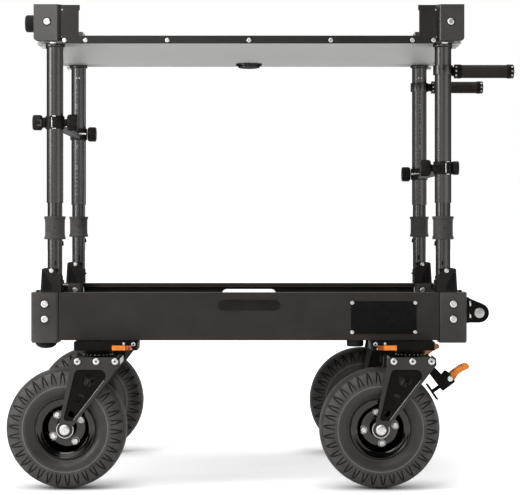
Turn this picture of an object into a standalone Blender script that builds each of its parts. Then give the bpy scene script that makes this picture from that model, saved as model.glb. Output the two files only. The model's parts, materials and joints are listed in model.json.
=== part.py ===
# Folding production cart: tray base on four swivel casters, telescoping posts, top shelf, two handles.
# Metres. X runs along the cart, -Y is the front, +Z is up. Places are given from the middle of the deck,
# and one empty moves the whole cart so that its box stands centred on the origin.

import math

import bmesh
import bpy
from mathutils import Matrix, Vector

# Clearances
touch = 0.0003
running = 0.0005
swing = 0.0006
fuse = 0.001

# Base
deck_length = 0.941
deck_width = 0.600
casting_step = 0.0002
casting_side = 0.060
casting_height = 0.1085
casting_wall = 0.005
casting_roof = 0.008
casting_round = 0.007
casting_floor = 0.0036
drain_radius = 0.0015
drain_in = 0.0025
rail_height = 0.103
rail_recess = 0.002
rail_wall = 0.004
rail_flange = 0.022
rail_lip = 0.010
slot_length = 0.135
slot_height = 0.025
slot_drop = 0.0275
floor_thickness = 0.003

# Tow end
lug_thickness = 0.008
lug_reach = 0.0284
lug_radius = 0.021
lug_eye_drop = 0.0448
lug_inset = 0.017
lug_foot_thickness = 0.006
lug_foot_width = 0.030
lug_foot_height = 0.056
lug_drop = 0.0105
tow_bar_radius = 0.0115

# Feet under the base
dome_radius = 0.024
dome_height = 0.0142
dome_in = 0.0298
puck_radius = 0.018
puck_height = 0.014
puck_end_in = 0.2405
puck_edge = 0.002
dome_plug = 0.003
foot_side_in = 0.032

# Posts and the brackets that they fold in
post_end_in = 0.0495
post_side_in = 0.026
lower_radius = 0.016
lower_bore = 0.0135
lower_bottom_rise = 0.0540
lower_top_drop = 0.099
upper_radius = 0.018
upper_bore = 0.0166
upper_gap = 0.029
flange_radius = 0.022
flange_height = 0.006
pin_out = 0.0052
pin_rise = 0.047
pin_radius = 0.004
pin_head_radius = 0.0055
pin_head = 0.002
foot_round = 0.0145
foot_width = 0.034
foot_seat = 0.006
cheek_thickness = 0.006
bracket_base = 0.006
bracket_out = 0.0290
bracket_in = 0.0152
bracket_height = 0.052
cheek_round = 0.003
cheek_lean = 0.003
cheek_cut = 0.0007
cheek_slope = 0.018
stop_height = 0.032
stop_wall = 0.005
collar_radius = 0.0232
collar_waist = 0.0218
collar_rim = 0.006
collar_rise = 0.1145
collar_height = 0.050

# Accessory clamps on the upper posts: a band, a neck and knob inboard, a block outboard, and the tie bar
left_clamp_drop = 0.170
right_clamp_drop = 0.2685
band_thickness = 0.0025
band_height = 0.028
neck_radius = 0.008
knob_radius = 0.0178
knob_edge = 0.003
knob_start = {"front": 0.0268, "rear": 0.0224}
knob_length = {"front": 0.0225, "rear": 0.0212}
outboard_block = {"left": (0.0272, 0.035), "right": (0.0136, 0.031)}
block_half = 0.015
tie_radius = 0.008
tie_drop = 0.006

# Handles on the right posts
handle_drop = {"front": 0.059, "rear": 0.054}
handle_ring_radius = 0.0215
handle_ring_height = {"front": 0.0205, "rear": 0.0215}
handle_ring_rise = {"front": 0.0027, "rear": 0.0}
handle_neck_radius = 0.010
grip_radius = 0.0152
grip_start = {"front": 0.0240, "rear": 0.0296}
grip_end = {"front": 0.1535, "rear": 0.157}
grip_round = 0.004

# Top shelf
shelf_rise = 0.5375
shelf_skin = 0.0055
shelf_end_in = 0.0115
shelf_waist_in = 0.0235
shelf_corner = 0.010
edge_end_in = 0.020
edge_rise = 0.0166
edge_thickness = 0.0035
edge_drop = 0.0006
ear_width = 0.0379
ear_overhang = 0.0039
ear_rise = {"front": 0.0828, "rear": 0.0760}
ear_lip = 0.0022
ear_lip_height = 0.0105
deck_board = 0.0075
block_out = 0.0435
block_in = 0.0073
block_chamfer = 0.0082
block_depth = 0.087
block_rise = {"front": 0.0843, "rear": 0.0775}
block_round = 0.007
socket_radius = 0.0195
stub_knob_radius = 0.0188
stub_knob_length = 0.022
stub_knob_rise = 0.0465
port_radius = 0.0315
port_step_radius = 0.026
port_height = 0.0105
port_side_in = 0.078

# Casters
swivel_end_in = {"left": 0.146, "right": 0.123}
swivel_side_out = 0.005
trail = 0.067
tyre_radius = 0.130
tyre_width = 0.090
tyre_wall = 0.009
bead_radius = 0.0525
bead_half = 0.0355
rim_flange_radius = 0.064
rim_half = 0.041
rim_web = 0.008
rim_dish = 0.0455
rim_mouth = 0.049
hub_radius = 0.020
hub_bore = 0.0086
axle_radius = 0.008
axle_head_radius = 0.011
axle_head = 0.004
washer_radius = 0.016
washer = 0.002
tyre_side_gap = 0.005
tyre_top_gap = 0.004
fork_plate = 0.005
fork_boss = 0.014
fork_left = 0.053
fork_right = 0.0507
fork_corner = 0.009
fork_knee = (0.0268, -0.0465)
fork_pocket = 0.0015
fork_holes = ((-0.0163, -0.0486, 0.0134), (-0.0346, -0.0879, 0.0096), (-0.0524, -0.1206, 0.0076))
crown_height = 0.020
crown_bolt_spacing = 0.0400
crown_bolt_radius = 0.007
crown_bolt_drop = 0.0085
bolt_head = 0.003
kingpin_radius = 0.010
kingpin_height = 0.022
race_radius = 0.031
bearing_height = 0.014
mount_height = 0.018
mount_inner_length = 0.087
mount_outer_length = 0.049
mount_half_width = 0.046
mount_round = 0.006
lock_reach = 0.045
lock_pivot_in = 0.0085
lock_height = 0.010
lock_depth = 0.009
lock_boss = 0.0075
lock_rise = 0.006
lock_nose = 0.012

# Brakes on the right casters, drawn from the swivel axis (across) and the crown (down)
brake_cheek = 0.005
brake_half_width = 0.020
brake_cheek_outline = ((0.030, 0.0), (0.046, 0.0), (0.0521, 0.0054), (0.068, 0.0213), (0.0758, 0.0125),
                       (0.0825, 0.0157), (0.0945, 0.0345), (0.068, 0.0543), (0.0418, 0.0192), (0.030, 0.0057))
brake_core_outline = ((0.0305, 0.0), (0.0455, 0.0), (0.0517, 0.0055), (0.0660, 0.0200), (0.0720, 0.0294),
                      (0.0720, 0.0504), (0.0680, 0.0534), (0.0424, 0.0191), (0.0305, 0.0057))
brake_pin = (0.0835, 0.0281)
brake_pin_radius = 0.0040
brake_pin_head = 0.0063
brake_pin_rim = 0.002
brake_hub = 0.009
brake_tip = (0.1190, 0.0020)
brake_arm_half = 0.0048
pad_length = 0.038
pad_thickness = 0.004
pad_gap = 0.0049
pad_angle = math.radians(34.0)
pad_stem_radius = 0.004
pad_stem_length = 0.031

post_sides = 18
small_sides = 12
wheel_sides = 30
rim_sides = 20

# Heights that follow, from the ground up
axle_z = tyre_radius
crown_bottom = axle_z + tyre_radius + tyre_top_gap
fork_top = crown_bottom + crown_height
mount_bottom = fork_top + bearing_height
mount_top = mount_bottom + mount_height
rail_bottom = mount_top + touch
rail_top = rail_bottom + rail_height
deck_top = rail_top + casting_step
casting_bottom = deck_top - casting_height
pin_z = deck_top + pin_rise
bracket_top = deck_top + bracket_height
lower_bottom = deck_top + lower_bottom_rise
collar_bottom = deck_top + collar_rise
collar_top = collar_bottom + collar_height
upper_bottom = collar_top + upper_gap
shelf_bottom = deck_top + shelf_rise
lower_top = shelf_bottom - lower_top_drop
upper_top = shelf_bottom - swing
left_clamp_z = shelf_bottom - left_clamp_drop
right_clamp_z = shelf_bottom - right_clamp_drop
shelf_skin_top = shelf_bottom + shelf_skin
edge_top = shelf_bottom + edge_rise
stub_knob_z = shelf_bottom + stub_knob_rise
bolt_z = fork_top - crown_bolt_drop
lock_z = mount_bottom + lock_rise

# Places that follow, from the ends and sides of the deck
rail_x = deck_length / 2 - rail_recess
rail_y = deck_width / 2 - rail_recess
casting_inner_x = deck_length / 2 - casting_side
casting_inner_y = deck_width / 2 - casting_side
puck_x = deck_length / 2 - puck_end_in
foot_y = deck_width / 2 - foot_side_in
post_x = deck_length / 2 - post_end_in
post_y = deck_width / 2 - post_side_in
shelf_half_length = deck_length / 2 - shelf_end_in
shelf_waist = deck_length / 2 - shelf_waist_in
edge_half = post_x - edge_end_in
ear_outer = edge_half + ear_overhang
ear_inner = ear_outer - ear_width
block_outer = post_x + block_out
block_inner = post_x - block_in
block_inside = block_inner - block_chamfer
port_y = deck_width / 2 - port_side_in
swivel_x = {"left": swivel_end_in["left"] - deck_length / 2, "right": deck_length / 2 - swivel_end_in["right"]}
swivel_y = deck_width / 2 + swivel_side_out
fork_gap = tyre_width + 2 * tyre_side_gap
fork_half = fork_gap / 2 + fork_plate
lock_pivot = mount_inner_length - lock_pivot_in
handle_tip_x = post_x + max(grip_end.values())
facet = math.pi / wheel_sides
tyre_ring = tyre_radius / math.cos(facet)
tyre_left_x = swivel_x["left"] - trail - tyre_ring
cart_x = -(handle_tip_x + tyre_left_x) / 2

axes = {"x": Vector((1, 0, 0)), "y": Vector((0, 1, 0)), "z": Vector((0, 0, 1))}
start_side = {"x": Vector((0, 0, 1)), "y": Vector((0, 0, 1)), "z": Vector((1, 0, 0))}

finishes = {
    "satin_black": ((0.045, 0.042, 0.039, 1), 0.50, 0.3),
    "tube_black": ((0.020, 0.019, 0.018, 1), 0.32, 0.6),
    "light_metal": ((0.42, 0.41, 0.40, 1), 0.45, 0.8),
    "steel": ((0.75, 0.75, 0.74, 1), 0.25, 1.0),
    "rubber": ((0.035, 0.034, 0.033, 1), 0.80, 0.0),
    "tyre": ((0.050, 0.047, 0.044, 1), 0.75, 0.0),
    "gloss_black": ((0.010, 0.010, 0.010, 1), 0.15, 0.0),
    "orange": ((0.80, 0.23, 0.02, 1), 0.40, 0.0),
    "knob": ((0.040, 0.039, 0.038, 1), 0.60, 0.0),
}


for old in list(bpy.data.objects):
    bpy.data.objects.remove(old, do_unlink=True)


def arc(centre, radius, start, end, steps):
    """Points on a round stretch of an outline, angles in degrees."""
    points = []
    for step in range(steps + 1):
        turn = math.radians(start + (end - start) * step / steps)
        points.append((centre[0] + radius * math.cos(turn), centre[1] + radius * math.sin(turn)))
    return points


def rounded_box(low, high, radius, steps=3):
    """Outline of a rectangle with round corners."""
    outline = []
    corners = ((high[0] - radius, high[1] - radius, 0), (low[0] + radius, high[1] - radius, 90),
               (low[0] + radius, low[1] + radius, 180), (high[0] - radius, low[1] + radius, 270))
    for x, y, turn in corners:
        outline += arc((x, y), radius, turn, turn + 90, steps)
    return outline


def stadium(centre, length, height, steps=6):
    """Outline of a slot with half-round ends."""
    radius = height / 2
    reach = length / 2 - radius
    right = arc((centre[0] + reach, centre[1]), radius, -90, 90, steps)
    left = arc((centre[0] - reach, centre[1]), radius, 90, 270, steps)
    return right + left


def flipped(outline, side):
    """The outline as it is for side 1, or mirrored across the first axis for side -1."""
    return [(a * side, b) for a, b in outline]


def prism(bm, outline, axis, low, high):
    """Closed solid: an outline in the plane square to the axis, carried from low to high."""
    lay = {"x": lambda a, b, t: (t, a, b), "y": lambda a, b, t: (a, t, b), "z": lambda a, b, t: (a, b, t)}[axis]
    ring = [bm.verts.new(lay(a, b, low)) for a, b in outline]
    face = bm.faces.new(ring)
    grown = bmesh.ops.extrude_face_region(bm, geom=[face])["geom"]
    moved = [item for item in grown if isinstance(item, bmesh.types.BMVert)]
    bmesh.ops.translate(bm, verts=moved, vec=Vector(lay(0, 0, high - low)))
    return ring + moved


def block(bm, low, high):
    """Closed box from its lowest corner to its highest."""
    outline = ((low[0], low[1]), (high[0], low[1]), (high[0], high[1]), (low[0], high[1]))
    return prism(bm, outline, "z", low[2], high[2])


def turned(bm, profile, axis, centre, sides, half_step=False):
    """Solid of revolution: (radius, along) points. A profile that starts on the axis also ends on it."""
    along = axes[axis]
    out = start_side[axis].copy()
    if half_step:
        out.rotate(Matrix.Rotation(math.pi / sides, 3, along))
    points = [bm.verts.new(Vector(centre) + out * r + along * t) for r, t in profile]
    edges = [bm.edges.new(pair) for pair in zip(points[:-1], points[1:])]
    if profile[0][0] > 0:
        edges.append(bm.edges.new((points[-1], points[0])))
    bmesh.ops.spin(bm, geom=points + edges, cent=centre, axis=along, angle=2 * math.pi,
                   steps=sides, use_merge=True)
    bmesh.ops.remove_doubles(bm, verts=bm.verts[:], dist=1e-6)


def rod(bm, radius, axis, low, high, across, sides=small_sides, half_step=False):
    """Plain round bar between two places on its axis; across holds its two other coordinates."""
    lay = {"x": (0, across[0], across[1]), "y": (across[0], 0, across[1]), "z": (across[0], across[1], 0)}
    profile = ((0, low), (radius, low), (radius, high), (0, high))
    turned(bm, profile, axis, lay[axis], sides, half_step)


def new_mesh(name, shape, smooth):
    """A mesh from a bmesh, with faces pointing out and round surfaces shaded smooth."""
    bmesh.ops.recalc_face_normals(shape, faces=shape.faces[:])
    mesh = bpy.data.meshes.new(name)
    shape.to_mesh(mesh)
    shape.free()
    if smooth:
        mesh.shade_smooth()
        mesh.set_sharp_from_angle(angle=math.radians(35))
    return mesh


def joint(name, place, parent=None):
    """An empty on a joint's axis; place is in deck coordinates."""
    empty = bpy.data.objects.new(name, None)
    empty.empty_display_size = 0.02
    bpy.context.scene.collection.objects.link(empty)
    empty["deck_place"] = place
    if parent is None:
        empty.location = place
    else:
        empty.parent = parent
        empty.location = Vector(place) - Vector(parent["deck_place"])
    return empty


cart = bpy.data.objects.new("cart", None)
cart["deck_place"] = (0.0, 0.0, 0.0)
cart.location = (cart_x, 0, 0)
bpy.context.scene.collection.objects.link(cart)


def tool(name, shape, parent, offset):
    """A hidden solid that a Boolean adds or takes away."""
    helper = bpy.data.objects.new(name, new_mesh(name, shape, False))
    helper.hide_render = True
    helper.display_type = "WIRE"
    helper.parent = parent
    helper.location = offset
    bpy.context.scene.collection.objects.link(helper)
    return helper


def combine(part, shapes, operation, parent, offset):
    """Boolean steps that join shapes to a part, or cut them from it."""
    for count, shape in enumerate(shapes):
        label = "{}_{}_{}".format(part.name, operation.lower(), count)
        step = part.modifiers.new(label, "BOOLEAN")
        step.operation = operation
        step.solver = "EXACT"
        step.object = tool(label, shape, parent, offset)


def node(name, shape, finish, parent=cart, add=(), cut=(), smooth=True, local=False):
    """One named sub-part. The shape is in deck coordinates, or from its parent's axis when local."""
    mesh = shape if isinstance(shape, bpy.types.Mesh) else new_mesh(name, shape, smooth)
    part = bpy.data.objects.new(name, mesh)
    offset = Vector((0, 0, 0)) if local else -Vector(parent["deck_place"])
    part.parent = parent
    part.location = offset
    bpy.context.scene.collection.objects.link(part)
    colour, roughness, metallic = finishes[finish]
    material = bpy.data.materials.new(name + "_" + finish)
    material.use_nodes = True
    shader = material.node_tree.nodes["Principled BSDF"]
    shader.inputs["Base Color"].default_value = colour
    shader.inputs["Roughness"].default_value = roughness
    shader.inputs["Metallic"].default_value = metallic
    if not mesh.materials:
        mesh.materials.append(None)
    part.material_slots[0].link = "OBJECT"
    part.material_slots[0].material = material
    combine(part, add, "UNION", parent, offset)
    combine(part, cut, "DIFFERENCE", parent, offset)
    return part


def baked_mesh(name, shape, add, cut):
    """A mesh shared by repeated parts, with its Boolean steps already worked out."""
    part = bpy.data.objects.new(name, new_mesh(name, shape, False))
    bpy.context.scene.collection.objects.link(part)
    combine(part, add, "UNION", None, (0, 0, 0))
    combine(part, cut, "DIFFERENCE", None, (0, 0, 0))
    graph = bpy.context.evaluated_depsgraph_get()
    mesh = bpy.data.meshes.new_from_object(part.evaluated_get(graph))
    mesh.name = name
    for step in part.modifiers:
        bpy.data.objects.remove(step.object, do_unlink=True)
    bpy.data.objects.remove(part, do_unlink=True)
    mesh.shade_smooth()
    mesh.set_sharp_from_angle(angle=math.radians(35))
    return mesh


def channel(inner_side):
    """Section of a base rail: web, two flanges and a lip turned down from the upper one."""
    web = (0.0, rail_wall, rail_flange - rail_wall, rail_flange)
    a, b, c, d = [inner_side * value for value in web]
    return [(a, rail_bottom), (d, rail_bottom), (d, rail_bottom + rail_wall), (b, rail_bottom + rail_wall),
            (b, rail_top - rail_wall), (c, rail_top - rail_wall), (c, rail_top - rail_lip),
            (d, rail_top - rail_lip), (d, rail_top), (a, rail_top)]


def make_long_rails():
    """Front and rear rails, each with a hand slot and a round bump stop under its right half."""
    half = casting_inner_x - touch
    slot_z = deck_top - slot_drop
    for name, side in (("front_rail", -1), ("rear_rail", 1)):
        rail = bmesh.new()
        prism(rail, [(side * rail_y + y, z) for y, z in channel(-side)], "x", -half, half)
        slot = bmesh.new()
        outline = stadium((0.0, slot_z), slot_length, slot_height)
        prism(slot, outline, "y", side * rail_y - 2 * rail_wall, side * rail_y + 2 * rail_wall)
        puck = bmesh.new()
        puck_y = side * (rail_y - puck_radius - rail_wall / 2)
        low = rail_bottom - puck_height
        profile = ((0, rail_bottom + fuse), (puck_radius, rail_bottom + fuse), (puck_radius, low + puck_edge),
                   (puck_radius - puck_edge, low), (0, low))
        turned(puck, profile, "z", (puck_x, puck_y, 0), 16)
        node(name, rail, "satin_black", add=[puck], cut=[slot], smooth=False)


def make_tray():
    """One folded sheet: the floor on the rails' lower flanges, and the end walls between the corners."""
    x_out = rail_x - rail_wall + fuse
    y_out = rail_y - rail_wall - touch
    x_in = casting_inner_x - touch
    y_in = casting_inner_y - touch
    quarter = [(x_out, y_in), (x_in, y_in), (x_in, y_out)]
    plan = quarter + [(-x, y) for x, y in reversed(quarter)]
    plan += [(-x, -y) for x, y in quarter] + [(x, -y) for x, y in reversed(quarter)]
    floor_bottom = rail_bottom + rail_wall + touch
    tray = bmesh.new()
    prism(tray, plan, "z", floor_bottom, floor_bottom + floor_thickness)
    walls = []
    for side in (-1, 1):
        wall = bmesh.new()
        section = channel(-side)
        section = [section[0], (section[3][0], rail_bottom)] + section[4:]
        prism(wall, [(side * rail_x + x, z) for x, z in section], "y", -y_in, y_in)
        walls.append(wall)
    node("tray", tray, "satin_black", add=walls, smooth=False)


def bracket_foot(near, far, low, clear):
    """Lower edge of a bracket: sunk into the casting, and just clear of the rail beside it."""
    step_x = casting_inner_x + clear
    return [(near, deck_top + clear), (step_x, deck_top + clear), (step_x, low), (far, low)]


def cheek_outline():
    """Front view of a bracket cheek, cut away on the inner side so that the post can fold."""
    out = post_x + bracket_out
    points = bracket_foot(post_x - bracket_in, out, deck_top - fuse, touch)
    out -= cheek_lean
    points += arc((out - cheek_round, bracket_top - cheek_round), cheek_round, 0, 90, 2)
    points += [(post_x - cheek_cut, bracket_top), (post_x - bracket_in, bracket_top - cheek_slope)]
    return points


def make_corner(name, side_x, side_y):
    """Corner casting, open below, with the bracket that the post folds in and, at the left, a foot."""
    outer = (deck_length / 2, deck_width / 2)
    inner = (casting_inner_x, casting_inner_y)
    wall = casting_wall

    def turned_plan(points):
        return [(x * side_x, y * side_y) for x, y in points]

    casting = bmesh.new()
    prism(casting, turned_plan(rounded_box(inner, outer, casting_round)), "z", casting_bottom, deck_top)
    hollow = bmesh.new()
    plan = rounded_box((inner[0] + wall, inner[1] + wall), (outer[0] - wall, outer[1] - wall), 0.002, 1)
    hollow_low = casting_bottom + casting_floor if side_x < 0 else casting_bottom - fuse
    prism(hollow, turned_plan(plan), "z", hollow_low, deck_top - casting_roof)
    cuts = [hollow]

    middle = side_y * post_y
    gap = foot_width / 2 + running
    outline = flipped(cheek_outline(), side_x)
    cheeks = []
    for low, high in ((middle - gap - cheek_thickness, middle - gap),
                      (middle + gap, middle + gap + cheek_thickness)):
        cheek = bmesh.new()
        prism(cheek, outline, "y", low, high)
        cheeks.append(cheek)
    near, far = post_x - bracket_in + 3 * fuse, post_x + bracket_out - 4 * fuse
    low, base_top, stop_top = deck_top - 2 * fuse, deck_top + bracket_base, deck_top + stop_height
    base = bmesh.new()
    section = bracket_foot(near, far, low, touch + fuse)
    section += [(far, stop_top), (far - stop_wall, stop_top), (far - stop_wall, base_top), (near, base_top)]
    prism(base, flipped(section, side_x), "y", middle - gap - fuse, middle + gap + fuse)
    eye = bmesh.new()
    across = (side_x * (post_x + pin_out), pin_z)
    rod(eye, pin_radius + running, "y", middle - 2 * foot_width, middle + 2 * foot_width, across)
    extra = cheeks + [base]
    if side_x < 0:
        foot = bmesh.new()
        centre = (side_x * (deck_length / 2 - dome_in), side_y * foot_y, 0)
        top = casting_bottom
        profile = ((0, top + dome_plug), (dome_radius, top + dome_plug), (dome_radius, top - 0.002),
                   (dome_radius * 0.8, top - 0.008), (dome_radius * 0.5, top - 0.0125), (0, top - dome_height))
        turned(foot, profile, "z", centre, 16)
        extra.append(foot)
        drain = bmesh.new()
        corner = (side_x * (inner[0] + wall + drain_in), side_y * (inner[1] + wall + drain_in))
        rod(drain, drain_radius, "z", casting_bottom - fuse, hollow_low + fuse, corner, 8)
        cuts.append(drain)
    node(name, casting, "satin_black", add=extra, cut=cuts + [eye])


def make_tow_end():
    """Two lugs bolted to the right end and the lift bar that they carry, joined as one piece."""
    eye_x = deck_length / 2 + lug_reach
    eye_z = deck_top - lug_eye_drop
    seat = deck_length / 2 + touch
    half = deck_width / 2 - lug_inset
    edge = 0.0015
    bar = bmesh.new()
    profile = ((0, -half - edge), (tow_bar_radius - edge, -half - edge), (tow_bar_radius, -half),
               (tow_bar_radius, half), (tow_bar_radius - edge, half + edge), (0, half + edge))
    turned(bar, profile, "y", (eye_x, 0, eye_z), 16)
    extra = []
    for side in (-1, 1):
        outline = [(seat, eye_z - lug_radius)] + arc((eye_x, eye_z), lug_radius, -90, 70, 8)
        outline += [(seat, deck_top - lug_drop)]
        near, far = sorted((side * half, side * (half - lug_thickness)))
        lug = bmesh.new()
        prism(lug, outline, "y", near, far)
        foot = bmesh.new()
        near, far = sorted((side * (half - fuse), side * (half - lug_thickness - lug_foot_width)))
        block(foot, (seat + 0.0001, near, deck_top - lug_drop - lug_foot_height),
              (seat + lug_foot_thickness, far, deck_top - lug_drop - fuse))
        extra += [lug, foot]
    node("tow_bar", bar, "satin_black", add=extra)


def make_lower_post(name, side, side_y, hinge):
    """Lower tube with its hinge foot, pivot pin and the rubber collar that stops the upper tube."""
    y = side_y * post_y
    centre = (side * post_x, y, 0)
    tube = bmesh.new()
    profile = ((lower_bore, lower_bottom), (lower_radius, lower_bottom), (lower_radius, lower_top),
               (lower_bore, lower_top))
    turned(tube, profile, "z", centre, post_sides)
    foot = bmesh.new()
    foot_top = lower_bottom + foot_seat
    outline = arc((post_x + pin_out, pin_z), foot_round, 180, 360, 8)
    outline += [(post_x + pin_out + foot_round, pin_z + 0.001), (post_x + foot_round, bracket_top),
                (post_x + foot_round, foot_top), (post_x - foot_round, foot_top),
                (post_x - foot_round + 0.004, pin_z + 0.004)]
    prism(foot, flipped(outline, side), "y", y - foot_width / 2, y + foot_width / 2)
    pin = bmesh.new()
    end = foot_width / 2 + running + cheek_thickness + touch
    head = end + pin_head
    profile = ((0, -head), (pin_head_radius, -head), (pin_head_radius, -end), (pin_radius, -end),
               (pin_radius, end), (pin_head_radius, end), (pin_head_radius, head), (0, head))
    turned(pin, profile, "y", (side * (post_x + pin_out), y, pin_z), small_sides)
    collar = bmesh.new()
    low, high = collar_bottom, collar_top
    profile = ((lower_radius - fuse, low), (collar_radius, low), (collar_radius, low + collar_rim),
               (collar_waist, low + collar_rim + 0.002), (collar_waist, high - collar_rim - 0.002),
               (collar_radius, high - collar_rim), (collar_radius, high), (lower_radius - fuse, high))
    turned(collar, profile, "z", centre, post_sides)
    node(name, tube, "tube_black", hinge, add=[foot, pin, collar])


def make_upper_post(name, side, side_y, slide):
    """Upper tube over the lower one, with the flange that stands under the shelf."""
    low, high = upper_bottom, upper_top
    profile = ((upper_bore, low), (upper_radius, low), (upper_radius, high - flange_height),
               (flange_radius, high - flange_height), (flange_radius, high), (upper_bore, high))
    tube = bmesh.new()
    turned(tube, profile, "z", (side * post_x, side_y * post_y, 0), post_sides)
    node(name, tube, "tube_black", slide)


def make_clamp_bar(label, side, clamp_z, slide):
    """Bands round both posts of an end, the tie bar between them, the knob necks and the outboard block."""
    band_bore = upper_radius + touch
    band_radius = band_bore + band_thickness
    tie = bmesh.new()
    reach = post_y - band_radius + fuse
    rod(tie, tie_radius, "y", -reach, reach, (side * post_x, clamp_z - tie_drop), 14)
    extra = []
    cuts = []
    for end, side_y in (("front", -1), ("rear", 1)):
        band = bmesh.new()
        low, high = clamp_z - band_height / 2, clamp_z + band_height / 2
        profile = ((band_bore, low), (band_radius, low), (band_radius, high), (band_bore, high))
        turned(band, profile, "z", (side * post_x, side_y * post_y, 0), post_sides)
        neck = bmesh.new()
        ends = sorted((side * (post_x - band_radius + fuse), side * (post_x - knob_start[end] + touch)))
        rod(neck, neck_radius, "x", ends[0], ends[1], (side_y * post_y, clamp_z), 10)
        bore = bmesh.new()
        rod(bore, band_bore, "z", low - band_thickness, high + band_thickness, (side * post_x, side_y * post_y),
            post_sides)
        extra += [band, neck]
        cuts.append(bore)
    outboard = bmesh.new()
    length, tall = outboard_block[label]
    near = post_x + band_radius - fuse
    ends = sorted((side * near, side * (near + length)))
    outline = rounded_box((ends[0], clamp_z - tall / 2), (ends[1], clamp_z + tall / 2), 0.004, 2)
    prism(outboard, outline, "y", -post_y - block_half, -post_y + block_half)
    node(label + "_clamp_bar", tie, "knob", slide, add=extra + [outboard], cut=cuts)

    for end, side_y in (("front", -1), ("rear", 1)):
        start = knob_start[end]
        y = side_y * post_y
        axis = joint(label + "_" + end + "_knob_axis", (side * (post_x - start), y, clamp_z), slide)
        knob = bmesh.new()
        stop = start + knob_length[end]
        profile = ((0, start), (knob_radius * 0.86, start), (knob_radius, start + knob_edge),
                   (knob_radius, stop - knob_edge), (knob_radius * 0.88, stop), (0, stop))
        turned(knob, [(r, side * (post_x - t)) for r, t in profile], "x", (0, y, clamp_z), 18)
        node("{}_{}_knob".format(end, label), knob, "knob", axis)


def make_posts(label, side, clamp_z):
    """One end pair of posts on their fold axis, and the upper tubes and clamps that slide on it."""
    hinge = joint(label + "_fold_axis", (side * (post_x + pin_out), 0, pin_z), cart)
    slide = joint(label + "_extend_axis", (side * post_x, 0, upper_bottom), hinge)
    for end, side_y in (("front", -1), ("rear", 1)):
        make_lower_post("{}_{}_lower_post".format(end, label), side, side_y, hinge)
        make_upper_post("{}_{}_upper_post".format(end, label), side, side_y, slide)
    make_clamp_bar(label, side, clamp_z, slide)
    return slide


def make_handles(slide):
    """Two handles on the right posts: a ring round the tube, a neck and a rubber grip."""
    for end, side_y in (("front", -1), ("rear", 1)):
        y = side_y * post_y
        z = shelf_bottom - handle_drop[end]
        axis = joint(end + "_handle_axis", (post_x, y, z), slide)
        bore = (upper_radius + touch) / math.cos(math.pi / post_sides)
        low = z + handle_ring_rise[end] - handle_ring_height[end] / 2
        high = low + handle_ring_height[end]
        ring = bmesh.new()
        profile = ((bore, low), (handle_ring_radius, low), (handle_ring_radius, high), (bore, high))
        turned(ring, profile, "z", (post_x, y, 0), post_sides)
        start = post_x + handle_ring_radius - fuse
        grip_low, grip_high = post_x + grip_start[end], post_x + grip_end[end]
        profile = ((0, start), (handle_neck_radius, start), (handle_neck_radius, grip_low),
                   (grip_radius, grip_low), (grip_radius, grip_high - grip_round),
                   (grip_radius - grip_round, grip_high), (0, grip_high))
        grip = bmesh.new()
        turned(grip, profile, "x", (0, y, z), 16)
        node(end + "_handle", ring, "rubber", axis, add=[grip])


def edge_plate(top):
    """Outline of a long edge plate with a raised, lipped ear at each end."""
    low = shelf_bottom - edge_drop
    lip = ear_inner - ear_lip
    right = [(edge_half, low), (edge_half, edge_top - 0.006), (ear_outer, edge_top), (ear_outer, top), (lip, top),
             (lip, top - ear_lip_height), (ear_inner, top - ear_lip_height - ear_lip), (ear_inner, edge_top)]
    return right + [(-x, z) for x, z in reversed(right)]


def socket_outline(radius, end_y, side_x, side_y):
    """A round socket over a post, squared off towards the shelf's edge."""
    outline = arc((post_x, post_y), radius, -180, 0, 10)
    outline += [(post_x + radius, end_y), (post_x - radius, end_y)]
    return [(side_x * x, side_y * y) for x, y in outline]


def make_shelf_panel(lift):
    """Panel and deck board with the two edge plates and the round port on its underside."""
    front = deck_width / 2
    edge_in = front - edge_thickness + fuse
    corner_y = front - block_depth
    quarter = [(shelf_waist, corner_y), (shelf_half_length, corner_y)]
    quarter += arc((shelf_half_length - shelf_corner, edge_in - shelf_corner), shelf_corner, 0, 90, 4)
    plan = quarter + [(-x, y) for x, y in reversed(quarter)]
    plan += [(-x, -y) for x, y in quarter] + [(x, -y) for x, y in reversed(quarter)]
    panel = bmesh.new()
    prism(panel, plan, "z", shelf_bottom, shelf_skin_top)
    board = bmesh.new()
    board_x = block_inside - touch
    block(board, (-board_x, -edge_in, shelf_skin_top - fuse), (board_x, edge_in, shelf_skin_top + deck_board))
    plates = []
    for rise, low in ((ear_rise["front"], -front), (ear_rise["rear"], front - edge_thickness)):
        plate = bmesh.new()
        prism(plate, edge_plate(shelf_bottom + rise), "y", low, low + edge_thickness)
        plates.append(plate)
    notches = bmesh.new()
    for side_x in (-1, 1):
        for side_y in (-1, 1):
            outline = socket_outline(socket_radius + touch, front, side_x, side_y)
            prism(notches, outline, "z", shelf_bottom - fuse, shelf_skin_top + fuse)
    port = bmesh.new()
    top = shelf_bottom + fuse
    step, low = shelf_bottom - port_height / 2, shelf_bottom - port_height
    profile = ((0, top), (port_radius, top), (port_radius, step), (port_step_radius, step),
               (port_step_radius, low), (0, low))
    turned(port, profile, "z", (0, port_y, 0), 20)
    node("shelf_panel", panel, "light_metal", lift, add=[board] + plates + [port], cut=[notches], smooth=False)


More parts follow.
